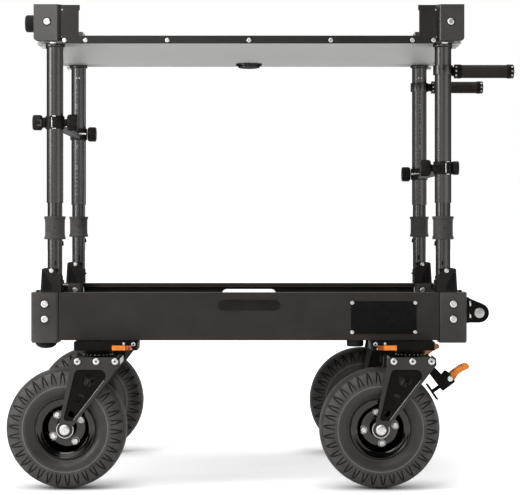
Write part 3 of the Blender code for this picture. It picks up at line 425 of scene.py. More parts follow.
def dressed(node, material, bevel, segments=2, second=None, chosen=None, rounds=None):
    # a merged copy of a CAD node with soft edges; rounds(end, end) picks edges for a 5.5 mm round, and the faces
    # that chosen(centre, normal) picks get the second paint
    source = frame["nodes"][node]
    mesh = source.data.copy()
    bm = bmesh.new()
    bm.from_mesh(mesh)
    bmesh.ops.remove_doubles(bm, verts=bm.verts[:], dist=2e-5)
    bmesh.ops.dissolve_limit(bm, angle_limit=math.radians(0.6), verts=bm.verts[:], edges=bm.edges[:])
    if rounds:
        picked = [e for e in bm.edges if rounds(*(v.co for v in e.verts))]
        bmesh.ops.bevel(bm, geom=picked, offset=0.0055, segments=5, profile=0.5, affect="EDGES")
    bm.to_mesh(mesh)
    bm.free()
    mesh.shade_smooth()
    mesh.set_sharp_from_angle(angle=math.radians(32))
    finished(mesh, node + "Shell", material, source["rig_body"], (node,), bevel, segments)
    if second:
        mesh.materials.append(materials[second])
        for face in mesh.polygons:
            face.material_index = int(chosen(face.center, face.normal))


def screwHead(shape, axis, side, centre, radius, height, socket=0.42):
    # domed head with a round socket, standing out along side * axis
    profile = rounded([(0, -0.0004), (radius, -0.0004), (radius, 0.55 * height), (0.8 * radius, height),
                       (socket * radius, height)], 0.3 * height, 3, closed=False)
    profile = np.vstack([profile, [(0.92 * socket * radius, 0.66 * height), (0, 0.62 * height)]])
    profile[:, 1] *= side
    shape.lathe(profile, axis, centre, 28)


ends = (("front", -1), ("rear", 1))
hands = (("left", -1), ("right", 1))

# all dictionaries: metres, x and y from the middle of the deck, z from the floor
base = {
    "halfWidth": 0.300, "top": 0.4195, "lowEdge": (0.3100, 0.3140), "roundFrom": 0.4680,
    "screwX": 0.4407, "screwZ": (0.3945, 0.3620), "screwRadius": 0.0080,
    "stud": (0.4593, 0.262), "studRadius": 0.0042,
    "plate": (0.2906, 0.3655), "plateSize": (0.141, 0.0705), "plateFace": 0.2992, "plateScrewIn": (0.0025, 0.0035),
    "dome": (-0.4407, 0.268, 0.3125), "domeRadius": 0.0246, "puck": (0.230, 0.278, 0.3163), "puckRadius": 0.0182,
    "bar": (0.4989, 0.3747), "barRadius": 0.0117, "barHalf": 0.2745, "lugOut": 0.2830, "lugIn": 0.258,
    "lugBoltX": 0.4768, "lugBolts": ((0.3945, 0.0068), (0.3685, 0.0058)),
    "stop": ((-0.4160, -0.2100, 0.4195), (-0.3990, -0.1900, 0.4305)),
    "stopRod": ((0, -0.2000, 0.4320), 0.0019, -0.4135, -0.4005),
    "slot": (0.055, 0.2982, 0.392), "slotRadius": 0.0125, "innerScrew": (0.4266, 0.2400, 0.4030),
}


def makeBase(b):
    for node, paint, soft in (("front_rail", "powder", 0.0009), ("rear_rail", "powder", 0.0009),
                              ("tray", "powderDark", 0.0006), ("tow_bar", "powderDark", 0.0008)):
        dressed(node, paint, soft)

    def lowOuterEdge(p, q):
        low, high = b["lowEdge"]
        return (low < min(p.z, q.z) and max(p.z, q.z) < high and abs(p.x - q.x) < 0.001
                and min(abs(p.x - cartX), abs(q.x - cartX)) > b["roundFrom"])

    heads, wellShades, studs, feet = Shape(), Shape(), Shape(), Shape()
    for end, side in ends:
        for hand, sx in hands:
            dressed("{}_{}_corner".format(end, hand), "casting", 0.0022, 3, second="bracket",
                    chosen=lambda at, way: at.z > b["top"] + 0.001, rounds=lowOuterEdge)
            (x, y), r = b["stud"], b["studRadius"]
            studs.spun([(0, -0.001), (r, -0.001), (r, 0.0035), (0, 0.0048)], 0.0012, 3, "z",
                       (sx * x, side * y, b["top"]), 24)
            for z in b["screwZ"]:
                centre = (sx * b["screwX"], side * b["halfWidth"], z)
                # a near-black disc round each screw head: painted shade in its recess
                wellShades.rod("y", centre, b["screwRadius"] * 1.17, side * 0.0001, side * 0.0005, 32)
                screwHead(heads, "y", side, centre, b["screwRadius"], 0.0030)
        (x, y, z), r = b["puck"], b["puckRadius"]
        feet.spun([(0, 0.004), (r, 0.004), (r, -0.0136), (0, -0.0138)], 0.0025, 4, "z", (x, side * y, z), 40)
        (x, y, z), r = b["dome"], b["domeRadius"]
        dome = smoothLine([(r, 0.002), (r, -0.0022), (0.0203, -0.0092), (0.0128, -0.0134), (0, -0.0150)], 16)
        feet.lathe(np.vstack([[(0, 0.002)], dome]), "z", (x, side * y, z), 40)
    makeAll("base", (heads, "cornerScrews", "steel"), (wellShades, "screwWellShades", "blackAndShade"), (studs, "cornerStuds", "knob"),
            (feet, "baseFeet", "foot"))

    (x, z), (w, h), (inX, inZ) = b["plate"], b["plateSize"], b["plateScrewIn"]
    plate = rounded([(x + i * w / 2, z + k * h / 2) for i, k in ((-1, -1), (1, -1), (1, 1), (-1, 1))], 0.002, 3)
    face = -b["plateFace"]
    make(Shape().slab(plate, "y", face, face + 0.0014), "namePlate", "blackAndShade", "base", bevel=0.0003)
    plateHeads = Shape()
    for i, k in ((-1, -1), (-1, 1), (1, -1), (1, 1)):
        screwHead(plateHeads, "y", -1, (x + i * (w / 2 - inX), face, z + k * (h / 2 - inZ)), 0.0042, 0.0015)
    make(plateHeads, "plateScrews", "steel", "base")

    bolts, caps = Shape(), Shape()
    (x, z), r, half = b["bar"], b["barRadius"], b["barHalf"]
    cap = np.array([(0, -0.001), (0.0108, -0.001), (0.0108, 0.0017), (0.0102, 0.0021), (0, 0.0021)])
    for side in (-1, 1):
        face = side * b["lugOut"]
        caps.lathe(cap * (1, side), "y", (x, face, z), 40)
        for height, size in b["lugBolts"]:
            for y in (side * b["lugIn"], face - side * 0.0002):
                screwHead(bolts, "x", 1, (b["lugBoltX"], y, height), size, 0.0042)
    bar = Shape().rod("y", (x, 0, z), r, -half, half, 40, 0.001)
    makeAll("base", (caps, "barEnds", "dullSteel"), (bolts, "lugBolts", "steel"), (bar, "liftBar", "powderDark"))
    # a stop with a bare rod, standing on the tray between the left brackets
    make(Shape().box(*b["stop"]), "trayStop", "powderDark", "base", bevel=0.001)
    make(Shape().rod("x", *b["stopRod"], 20), "stopRod", "steel", "base")
    # rims of the two hand slots, and the screws inside the rear castings
    rims, inner = Shape(), Shape()
    for side in (-1, 1):
        x, y, z = b["slot"]
        path = np.vstack([circle((k * x, z), b["slotRadius"], turn, turn + 180, 10)
                          for k, turn in ((1, -90), (-1, 90))])
        rims.strand(np.insert(np.vstack([path, path[:1]]), 1, side * y, axis=1), 0.0007, 8)
        x, y, z = b["innerScrew"]
        for sx in (-1, 1):
            screwHead(inner, "y", -side, (sx * x, side * y, z), 0.0072, 0.003)
    makeAll("base", (rims, "slotRims", "powder"), (inner, "innerScrews", "steel"))


makeBase(base)
print("base made")

# sunk panel on the outer face of a folding bracket, x and z
panelLine = np.array([(0.4448, 0.4235), (0.4446, 0.4610), (0.4438, 0.4622), (0.4392, 0.4600), (0.4325, 0.4465),
                      (0.4258, 0.4370), (0.4258, 0.4235)])


def makePost(p, hand, sx, end, side):
    label, lower, upper = end + hand.capitalize(), hand + "_lower_posts", hand + "_upper_posts"
    x, y, r = sx * p["x"], side * p["y"], p["lower"]
    tube = Shape().tube("z", (x, y, 0), r - 0.003, r, p["lowerFoot"], p["lowerTop"], 56)
    make(tube, label + "LowerTube", "tube", lower)
    pinX, pinZ, reach = p["pinX"], p["pinZ"], p["footReach"]
    foot = [(sx * (pinX + dx), z) for dx, z in circle((0, pinZ), reach, 180, 360, 18)]
    foot += [(sx * (pinX + reach), 0.4680), (sx * (p["x"] + reach), 0.4708), (sx * (p["x"] - 0.0105), 0.4708)]
    make(Shape().slab(foot, "y", y - p["footHalf"], y + p["footHalf"]), label + "PostFoot", "powderDark", lower,
         ("{}_{}_lower_post".format(end, hand),), bevel=0.0012, segments=3)
    pins, keyholeShade, sunk, small, catches = Shape(), Shape(), Shape(), Shape(), Shape()
    # dark keyhole shapes on the foot: painted shade in the keyhole slots
    keyhole = np.vstack([circle((x - 0.003 * sx, z), 0.0018, start, start + 180, 8)
                         for z, start in zip(p["keyhole"], (0, 180))])
    for way in (-1, 1):
        screwHead(pins, "y", way, (sx * pinX, y + way * 0.0235, pinZ), 0.0050, 0.0024)
        keyholeShade.slab(keyhole, "y", y + way * 0.0120, y + way * 0.01595)
    makeAll(lower, (pins, label + "PinHeads", "steel"), (keyholeShade, label + "KeyholeShades", "blackAndShade"))
    # the sunk panels, and the tips of the cross pin on the bracket's inner edge
    for way in (-1, 1):
        near, far = sorted((y + way * 0.0230, y + way * 0.02358))
        sunk.slab(panelLine * (sx, 1), "y", near, far)
    crossX, crossZ = p["crossPin"]
    sunk.rod("y", (sx * crossX, y, crossZ), 0.0024, -0.0215, 0.0215, 16)
    make(sunk, label + "Panels", "blackAndShade", "base")
    low, high = p["collar"]
    outer, waist, middle = p["collarRadius"], p["waist"], (low + high) / 2
    line = [(r, low), (outer, low), (outer, low + 0.0052), (waist, low + 0.0075), (waist - 0.0003, middle),
            (waist, high - 0.0075), (outer, high - 0.0052), (outer, high), (r, high)]
    make(Shape().spun(line, 0.0013, 4, "z", (x, y, 0), 56), label + "Collar", "collar", lower)
    # small near-black discs in the collar's waist: painted shade in its holes
    for way in (-1, 1):
        small.rod("y", (x + 0.001, y + way * (waist - 0.0001), middle), 0.0014, 0, 0.0003, 16)
    button = rounded([(0, -0.004), (0.0036, -0.004), (0.0036, 0.0024), (0, 0.0034)], 0.0012, 3, False)
    button[:, 1] *= -sx
    for z, size in p["catches"]:
        catches.lathe(button * size, "x", (x - sx * r, y, z), 20)
    makeAll(lower, (small, label + "CollarHoleShades", "blackAndShade"), (catches, label + "Catches", "knob"))

    r, low, high, wide = p["upper"], p["upperFoot"], p["upperTop"], p["flange"]
    line = rounded([(r - 0.0014, low), (r, low), (r, high - 0.0065), (wide, high - 0.0050), (wide, high),
                    (r - 0.0014, high)], 0.0008, 3)
    make(Shape().lathe(line, "z", (x, y, 0), 60, ring=True), label + "UpperTube", "tube", upper,
         ("{}_{}_upper_post".format(end, hand),))
    makeScale(label, x, y, side, upper, scale)
    if end == "rear":
        dots = Shape()
        for dx in (-0.0035, 0.0035):
            screwHead(dots, "y", -1, (x + dx, y - 0.0174, p["dotsZ"]), 0.0020, 0.0006)
        make(dots, label + "PostDots", "steel", upper)


# the scale on an upper tube: where its ticks begin and end, their step, their half widths as angles
scale = {"ticks": (0.640, 0.925, 0.010), "tickHalf": (0.22, 0.12), "tickTall": 0.0003, "leftTurn": -0.20,
         "numberTall": 0.0125, "numberFrom": 0.6515, "numberStep": 0.050}


def makeScale(label, x, y, side, body, p):
    # ticks and numbers on the face towards the middle of the cart; every fifth tick is long
    r = post["upper"] + 0.0001
    turn = p["leftTurn"] if x < 0 else 0.0

    def wrapped(a, out, z, dx=0.0):
        # a point at angle a and radius out round the tube
        return np.stack([dx + x + side * out * np.sin(a), y - side * out * np.cos(a), z], 1)

    ticks = Shape()
    for k, z in enumerate(np.arange(*p["ticks"])):
        half = p["tickHalf"][k % 5 > 0]
        a = np.linspace(-half, half, 7) + turn
        rows = [wrapped(a, r + lift, np.full(7, z + rise * p["tickTall"])) for lift, rise in
                ((-0.0002, -1), (0.00005, -1), (0.00005, 1), (-0.0002, 1))]
        ticks.grid(np.stack(rows), wrapRows=True, wrapCols=False)
    make(ticks, label + "Ticks", "print", body)
    for k in range(1, 6):
        text = bpy.data.curves.new(label + "Number", "FONT")
        text.body, text.size, text.align_x, text.extrude = str(6 - k), p["numberTall"], "CENTER", 0.00005
        holder = placed("holder", text)
        bpy.context.view_layer.update()
        flat = bpy.data.meshes.new_from_object(holder.evaluated_get(bpy.context.evaluated_depsgraph_get()))
        bpy.data.objects.remove(holder)
        co = np.empty(len(flat.vertices) * 3)
        flat.vertices.foreach_get("co", co)
        co = co.reshape(-1, 3)
        # the digit's x becomes an angle round the tube
        height = p["numberFrom"] + p["numberStep"] * k + co[:, 1]
        co = wrapped(co[:, 0] / r + turn, r + 0.00005 + co[:, 2], height, cartX)
        flat.vertices.foreach_set("co", co.ravel())
        flat.update()
        finished(flat, "{}Number{}".format(label, k), "print", body)


for hand, sx in hands:
    for end, side in ends:
        makePost(post, hand, sx, end, side)
print("posts made")

clamp = {
    "z": {"left": 0.787, "right": 0.6885}, "bandRadius": 0.0209, "height": 0.028, "drop": 0.006,
    "knobRadius": 0.0172, "knobPlace": {"front": (0.0268, 0.0225), "rear": (0.0224, 0.0212)}, "lobes": 14,
    "outboard": {"left": 0.0477, "right": 0.0341}, "barRadius": 0.0080, "barHalf": 0.254,
    "neckRadius": 0.0080, "neckFrom": 0.0185, "outboardFrom": 0.0199,
    "edgeTurn": {"left": -0.22, "right": 0.20},
}


def knobLine(radius, length):
    return rounded([(0, 0), (0.80 * radius, 0), (0.90 * radius, 0.0015), (radius, 0.0045), (radius, length - 0.003),
                    (0.90 * radius, length), (0.72 * radius, length), (0.68 * radius, length - 0.0012),
                    (0, length - 0.0014)], 0.0012, 3, False)


def makeClamps(c):
    outer, half, front = c["bandRadius"], c["height"] / 2, -post["y"]
    for hand, sx in hands:
        body, z, x = hand + "_upper_posts", c["z"][hand], sx * post["x"]
        bands, dark, pale, bright = Shape(), Shape(), Shape(), Shape()
        for end, side in ends:
            y = side * post["y"]
            bands.tube("z", (x, y, 0), outer - 0.0025, outer, z - half, z + half, 56, 0.0006, 2)
            start, length = c["knobPlace"][end]
            line = knobLine(c["knobRadius"] * 1.03, length)
            line[:, 1] = -sx * (start + line[:, 1])
            knob = Shape().lathe(line, "x", (x, y, z), 112, lobes=c["lobes"], lobeDepth=0.028)
            name = "{}_{}_knob".format(end, hand)
            make(knob, end + hand.capitalize() + "Knob", "knob", name, (name,))
        dark.rod("y", (x, 0, z - c["drop"]), c["barRadius"], -c["barHalf"], c["barHalf"], 32)
        low, high = sorted((x - sx * c["neckFrom"], x - sx * (c["knobPlace"]["front"][0] - 0.0002)))
        dark.rod("x", (0, front, z), c["neckRadius"], low, high, soft=0.001, steps=2)
        a, b = sorted((x + sx * c["outboardFrom"], x + sx * c["outboard"][hand]))
        if hand == "left":  # a six-lobed grip on a waist
            grip = [(0, b), (0.0115, b), (0.0115, b - 0.0070), (0.0150, b - 0.0080), (0.0172, b - 0.0110),
                    (0.0172, a + 0.0035), (0.0155, a), (0, a)]
            dark.spun(grip, 0.0012, 3, "x", (0, front, z), 96, lobes=6, lobeDepth=0.03)
            pale.box((a + 0.011, front - 0.0166, z - 0.0085), (b - 0.0075, front - 0.0150, z + 0.0060))
        else:
            block = [(0, a), (0.0125, a), (0.0125, a + 0.0015), (0.0150, a + 0.0020), (0.0150, b - 0.002),
                     (0.0140, b), (0, b)]
            dark.spun(block, 0.0010, 3, "x", (0, front, z), 40)
            # the round knurled nut that shows on the band's left
            nut = rounded([(0, 0.017), (0.0078, 0.017), (0.0078, 0.0225), (0, 0.0235)], 0.001, 3, False)
            dark.lathe(nut * (1, -1), "y", (x - 0.0160, front, z - 0.001), 48, lobes=16, lobeDepth=0.03)
        # a thin bright metal strand along the strap's edge, a C that hugs the band: a painted highlight where the
        # edge catches the light; its opening is to the right
        out, at, tall = outer + 0.0002, c["edgeTurn"][hand], half - 0.0006
        arm = np.linspace(0.42, 0, 7)
        turn = np.concatenate([at + arm, np.full(9, at), at + arm[::-1]])
        height = np.concatenate([np.full(7, tall), np.linspace(tall, -tall, 9), np.full(7, -tall)])
        path = np.stack([x + out * np.sin(turn), front - out * np.cos(turn), z + height], 1)
        bright.strand(rounded(path, 0.0012, 3, False), 0.00075, 8)
        low, high = sorted((x - sx * 0.0010, x - sx * 0.0212))
        bright.rod("x", (0, post["y"] - outer - 0.0008, z + 0.0005), 0.0022, low, high, 16)
        make(bands, hand + "ClampBands", "knob", body, (hand + "_clamp_bar",))
        make(dark, hand + "ClampParts", "knob", body, bevel=0.0004)
        make(bright, hand + "ClampEdges", "bright", body)
        if pale.count:
            make(pale, hand + "ClampLabel", "collar", body, bevel=0.0006)


makeClamps(clamp)
print("clamps made")

handle = {
    "z": {"front": 0.898, "rear": 0.903}, "ring": 0.0215, "ringRise": {"front": 0.0027, "rear": 0.0},
    "ringHeight": {"front": 0.0205, "rear": 0.0215},
    "start": {"front": 0.0240, "rear": 0.0296}, "end": {"front": 0.1535, "rear": 0.157},
    "grip": 0.0143, "lock": 0.0154, "lockLength": 0.0155, "notches": 10,
}


def makeHandles(h):
    for end, side in ends:
        body, x, centre = end + "_handle", post["x"], (0, side * post["y"], h["z"][end])
        low = centre[2] + h["ringRise"][end] - h["ringHeight"][end] / 2
        ring = Shape().tube("z", (x, centre[1], 0), post["upper"] + 0.0004, h["ring"], low,
                            low + h["ringHeight"][end], 60, 0.0008)
        make(ring, end + "HandleRing", "tube", body, (body,))
        s, e, g = x + h["start"][end], x + h["end"][end], h["grip"]
        line = [(0, x + 0.0195), (0.0112, x + 0.0195), (0.0096, x + 0.0230), (0.0096, s + 0.001), (0, s + 0.001)]
        make(Shape().spun(line, 0.001, 3, "x", centre, 32), end + "HandleNeck", "powderDark", body)
        rows = np.linspace(s + h["lockLength"], e - h["lockLength"], 60)
        ripple = 0.00018 * np.cos(2 * math.pi * (rows - s) / 0.0044)  # shallow rings along the rubber
        line = np.vstack([[(0, rows[0] - 0.001), (g - 0.0006, rows[0] - 0.001)], np.stack([g + ripple, rows], 1),
                          [(g - 0.0006, rows[-1] + 0.001), (0, rows[-1] + 0.001)]])
        make(Shape().lathe(line, "x", centre, 56), end + "Grip", "grip", body)
        locks, notches = Shape(), Shape()
        r, n = h["lock"], h["lockLength"]
        for a, b, rim in ((s, s + n, s + 0.0035), (e - n, e - 0.0015, e - 0.0050)):
            locks.rod("x", centre, r, a, b, 56, 0.0012)
            for k in range(h["notches"]):  # bright squares cut into the ring's outer rim
                turn = 2 * math.pi * (k + 0.5) / h["notches"]
                c, d = math.cos(turn), math.sin(turn)
                cube = Shape().box((rim - 0.0017, -0.0018, r - 0.0012), (rim + 0.0017, 0.0018, r + 0.0002))
                cube = cube.points[0] @ np.array([[1, 0, 0], [0, c, d], [0, -d, c]]) + np.array(centre)
                notches.grid(cube.reshape(2, 4, 3), caps=True)
        line = [(0, e - 0.0020), (r - 0.0016, e - 0.0020), (r - 0.0016, e - 0.0004), (0, e)]
        cap = Shape().spun(line, 0.0010, 3, "x", centre, 48)
        makeAll(body, (locks, end + "LockRings", "powderDark"), (notches, end + "LockNotches", "dullSteel"),
                (cap, end + "GripCap", "grip"))


makeHandles(handle)
print("handles made")

shelf = {
    "bottom": 0.957, "plateFront": 0.300, "strip": (0.9564, 0.9736), "halfStrip": 0.401,
    "ear": (0.3670, 0.4049), "earTop": {"front": 1.0398, "rear": 1.0330}, "screwZ": 0.9635,
    "screwXs": (-0.398, -0.3525, -0.1762, 0.0, 0.1762, 0.3525, 0.398), "screwRadius": 0.0050,
    "boltX": 0.4355, "boltZ": {"front": 1.004, "rear": 1.000}, "boltRadius": 0.0075,
    "knob": (-0.4648, -0.2565, 1.0035), "knobRadius": 0.0186, "knobLength": 0.022,
    "portY": 0.222, "portRadius": 0.0315, "deck": ((-0.4050, -0.2962, 0.9620), (0.4050, 0.2962, 0.9698)),
    "covers": ((0.4050, 0.4135, 0.2962), (0.4135, 0.4588, 0.2126)), "coverZ": (0.9622, 0.9632),
    "button": (0.4229, 0.2968, 0.9588), "buttonHalf": (0.0068, 0.0027),
    # x and z of the two lugs behind each edge plate, x and y of the bright plate under each block
    "lugs": (((0.4400, 0.9535), (0.4496, 0.9535), (0.4512, 0.9515), (0.4482, 0.9475), (0.4400, 0.9475)),
             ((0.4400, 0.9530), (0.4450, 0.9530), (0.4450, 0.9580), (0.4400, 0.9580))), "lugY": (0.2700, 0.2850),
    "plate": ((0.4390, 0.2935), (0.4584, 0.2935), (0.4584, 0.2650), (0.4390, 0.2650)), "plateZ": (0.9566, 0.9627),
}


def makeShelf(s):
    plates, covers, heads, wellShades, dots = Shape(), Shape(), Shape(), Shape(), Shape()
    (inX, outX), (low, high), half = s["ear"], s["strip"], s["halfStrip"]
    for end, side in ends:
        top = s["earTop"][end]
        right = [(half, low), (half, high - 0.006), (outX, high), (outX, top), (inX - 0.0022, top),
                 (inX - 0.0022, top - 0.0105), (inX, top - 0.0127), (inX, high)]
        near, far = sorted((side * s["plateFront"], side * (s["plateFront"] - 0.0035)))
        plates.slab(right + [(-x, z) for x, z in right[::-1]], "y", near, far)
    make(plates, "shelfEdges", "edge", "shelf", ("shelf_panel",), bevel=0.0005)
    # light grey sheet under the panel, notched where the posts' sockets come through
    inY = s["plateFront"] - 0.0036
    quarter = np.vstack([[(0.447, 0.214), (0.459, 0.214)], circle((0.449, 0.2865), 0.010, 0, 90, 6),
                         [(0.4415, inY), (0.4415, post["y"])], circle((post["x"], post["y"]), 0.0205, 0, -180, 14),
                         [(0.4005, inY)]])
    plan = np.vstack([quarter, quarter[::-1] * (-1, 1), quarter * (-1, -1), quarter[::-1] * (1, -1)])
    sheet = Shape().slab(plan, "z", s["bottom"] - 0.0003, s["bottom"] + 0.0056)
    make(sheet, "shelfUnderside", "underside", "shelf", bevel=0.0004)
    make(Shape().box(*s["deck"]), "shelfDeck", "deck", "shelf", bevel=0.0006)
    # dark covers on the sheet beyond the deck, between the blocks
    low, high = s["coverZ"]
    for hand, sx in hands:
        for near, far, halfWidth in s["covers"]:
            left, right = sorted((sx * near, sx * far))
            covers.box((left, -halfWidth, low), (right, halfWidth, high))
    make(covers, "shelfEndCovers", "edge", "shelf")

    a = turns(28)
    for end, side in ends:
        y = side * s["plateFront"]
        for x in s["screwXs"]:
            # near-black discs round the screws: painted shade in their recesses
            wellShades.rod("y", (x, y, s["screwZ"]), s["screwRadius"] * 1.2, 0, side * 0.0003)
            screwHead(heads, "y", side, (x, y, s["screwZ"]), s["screwRadius"], 0.0018)
        for hand, sx in hands:
            dressed("{}_{}_block".format(end, hand), "block", 0.0012, 3)
            centre = (sx * s["boltX"], y, s["boltZ"][end])
            # painted shade in the bolt's recess
            wellShades.rod("y", centre, s["boltRadius"] * 1.24, 0, side * 0.0004, 36)
            screwHead(heads, "y", side, centre, s["boltRadius"], 0.0026)
            screwHead(dots, "y", side, (sx * (outX - 0.0022), y, s["earTop"][end] - 0.0105), 0.0018, 0.0006)
            # an oval button: each row is k times the oval, and stands out from the plate
            middle, (wide, tall) = np.array(s["button"]) * (sx, side, 1), s["buttonHalf"]
            rows = [middle + np.stack([wide * k * np.cos(a), np.full(28, side * out), tall * k * np.sin(a)], 1)
                    for k, out in ((0, 0.0017), (0.45, 0.0014), (0.8, 0.0009), (1, 0), (1, -0.002))]
            heads.grid(np.stack(rows), caps=True)
            near, far = sorted(side * y for y in s["lugY"])
            for line in s["lugs"]:
                dots.slab(np.array(line) * (sx, 1), "y", near, far)
            dots.slab(rounded(np.array(s["plate"]) * (sx, side), 0.002, 3), "z", *s["plateZ"])
    makeAll("shelf", (heads, "shelfScrews", "steel"), (wellShades, "shelfScrewWellShades", "blackAndShade"),
            (dots, "shelfDots", "dullSteel"))
    r, n = s["knobRadius"], s["knobLength"]
    line = [(0, 0), (0.93 * r, 0), (r, 0.0025), (r, n - 0.003), (r - 0.003, n), (0, n)]
    knob = Shape().spun(np.array(line) * (1, -1), 0.0015, 4, "x", s["knob"], 144, lobes=36, lobeDepth=0.008)
    make(knob, "stubKnob", "knob", "stub_knob", ("stub_knob",))
    r = s["portRadius"]
    line = [(0, 0.001), (r, 0.001), (r, -0.0045), (r - 0.0030, -0.0060), (0.0262, -0.0060), (0.0262, -0.0092),
            (0.0245, -0.0105), (0.0200, -0.0105), (0.0190, -0.0085), (0, -0.0085)]
    make(Shape().spun(line, 0.0010, 3, "z", (0, s["portY"], s["bottom"]), 64), "roundPort", "rim", "shelf")


makeShelf(shelf)
print("shelf made")

caster = {
    "x": {"left": -0.3245, "right": 0.3475}, "y": 0.305, "trail": 0.067, "axleZ": 0.130,
    "boltZ": 0.2755, "boltStep": 0.040, "boltRadius": 0.0074, "forkHalf": 0.055, "pocketDepth": 0.0015,
    "hubBoltRing": 0.035, "hubBolts": {"left": (30, 126, 212, 303), "right": (9, 100, 188, 279)},
    "valve": (0.0400, 1.2), "crownEnd": (0.0495, 0.0507), "crownHalf": 0.0490, "crownZ": (0.2690, 0.2815),
    # x from the kingpin and z along each fork plate's slanting edge
    "slant": ((0.0165, 0.2352), (0.0010, 0.2150), (-0.0253, 0.1809), (-0.0478, 0.1515)),
    # radius and distance from the wheel's middle plane
    "rimLine": ((0.0090, 0.0494), (0.0175, 0.0494), (0.0195, 0.0470), (0.0195, 0.0120), (0.0210, 0.0060),
                (0.0400, 0.0058), (0.0432, 0.0085), (0.0448, 0.0150), (0.0470, 0.0330), (0.0492, 0.0372),
                (0.0540, 0.0392), (0.0590, 0.0398), (0.0625, 0.0412), (0.0642, 0.0402), (0.0640, 0.0376),
                (0.0600, 0.0366), (0.0528, 0.0352)),
    "race": ((0, 0.2852), (0.0312, 0.2852), (0.0312, 0.2905), (0.0335, 0.2925), (0.0335, 0.2978), (0, 0.2978)),
    "dots": 22, "dotRing": 0.0318, "dotZ": 0.2872, "mountFace": 0.046, "pivotX": 0.0785,
}
tyre = {
    "line": ((0.0531, 0.0335), (0.0565, 0.0344), (0.0640, 0.0352), (0.0690, 0.0372), (0.0760, 0.0415),
             (0.0840, 0.0444), (0.0915, 0.0449), (0.1010, 0.0444), (0.1100, 0.0424), (0.1185, 0.0378),
             (0.1245, 0.0300), (0.1282, 0.0180), (0.1298, 0.0)),
    "inside": ((0.0531, -0.030), (0.080, -0.034), (0.112, -0.024), (0.118, 0.0), (0.112, 0.024), (0.080, 0.034),
               (0.0531, 0.030)),
    "columns": 800, "fineFrom": 0.0890, "radius": 0.1299, "half": 0.0450,
    "lugs": 34, "lugDepth": 0.0030, "lugTop": 0.1222, "lugFoot": 0.0972,
    # place and width of the grooves round the tread; place, height and width of the rings on the sidewall
    "grooves": ((0.0312, 0.0009), (0.0250, 0.0012), (0.0175, 0.0014)),
    "rings": ((0.0912, 1.0, 0.0009), (0.0856, 0.3, 0.0007), (0.0672, 0.4, 0.0010)),
}


def share(value):
    return np.clip(value, 0, 1)


def makeTyre(label, x, y, node, phase, t):
    # q(u, a) = ring point at u along the section + normal_u * height(u, a)
    fine = smoothLine(t["line"], 400)
    reach = lengths(fine)
    fineFrom = np.interp(t["fineFrom"], fine[:, 0], reach)
    half = pointsAt(fine, np.concatenate([np.linspace(0, fineFrom, 16)[:-1], np.linspace(fineFrom, reach[-1], 74)]))
    section = np.vstack([half, half[-2::-1] * (1, -1)])
    along = np.gradient(section, axis=0)
    normal = np.stack([-along[:, 1], along[:, 0]], 1)
    normal /= np.linalg.norm(normal, axis=1)[:, None]
    normal *= np.sign(np.sum(normal * (section - (0.092, 0)), axis=1))[:, None]
    r, w = section[:, 0, None], section[:, 1, None]
    a = turns(t["columns"])[None, :] + phase
    # shoulder lugs: each groove is an arch, its point outward, its legs 0.27 v^0.7 either side of the middle
    u = (t["lugs"] * a / (2 * math.pi) + 0.25 * np.sign(w + 1e-9)) % 1.0 - 0.5
    inward = share((t["lugTop"] - r) / (t["lugTop"] - t["lugFoot"]))
    leg, thick = 0.27 * inward ** 0.7, 0.105 - 0.055 * inward
    within = share((t["lugTop"] + 0.0006 - r) / 0.0008) * share((r - t["lugFoot"]) / 0.0015)
    groove = share(1.5 - 1.5 * np.abs(np.abs(u) - leg) / thick) * within
    for place, wide in t["grooves"]:
        ring = share(1.6 - 1.6 * np.abs(np.abs(w) - place) / (1.4 * wide)) * (r > 0.120)
        groove = np.maximum(groove, 0.85 * ring)
    # ribs that zigzag round the middle of the tread
    wave = 0.0022 * np.abs(((t["lugs"] * a / math.pi) % 2.0) - 1.0) - 0.0011
    rib = share((0.0019 - np.abs(np.abs(w) - 0.0075 - wave)) / 0.0009) * (r > 0.126)
    groove = np.maximum(groove, rib)
    # rings on the sidewall: a raised line under the lugs and two faint ones near the rim, which the paint also makes
    # lighter as a painted highlight
    ridgeAndHighlight = 0 * a + 0 * r
    for place, tall, wide in t["rings"]:
        ridgeAndHighlight = ridgeAndHighlight + tall * np.exp(-((r - place) / wide) ** 2)
    wall = 0.75 * share((0.0905 - r) / 0.004) + 0 * a
    height = 0.0012 * ridgeAndHighlight - t["lugDepth"] * groove
    height = np.where(r + height * normal[:, 0, None] > t["radius"], t["radius"] - r, height)

    def wrapped(radius, across):
        return np.stack([x + radius * np.cos(a), y + across + 0 * a, caster["axleZ"] + radius * np.sin(a)], -1)

    across = np.clip(w + normal[:, 1, None] * height, -t["half"], t["half"])
    outside = wrapped(r + normal[:, 0, None] * height, across)
    inside = np.array(t["inside"])
    shape = Shape().grid(np.concatenate([outside, wrapped(inside[:, :1], inside[:, 1:])]), wrapRows=True)
    piece = make(shape, label + "Tyre", "tyre", node + "_wheel", (node + "_tyre",), smoothAngle=48)
    # the groove mask also paints the grooves near black, painted shade; the ridge mask paints the rings lighter, a
    # painted highlight
    for key, values in (("wall", wall), ("groove", groove), ("ridgeAndHighlight", share(ridgeAndHighlight))):
        spread = np.zeros(len(piece.data.vertices))
        spread[:values.size] = values.ravel()
        piece.data.attributes.new(key, "FLOAT", "POINT").data.foreach_set("value", spread)


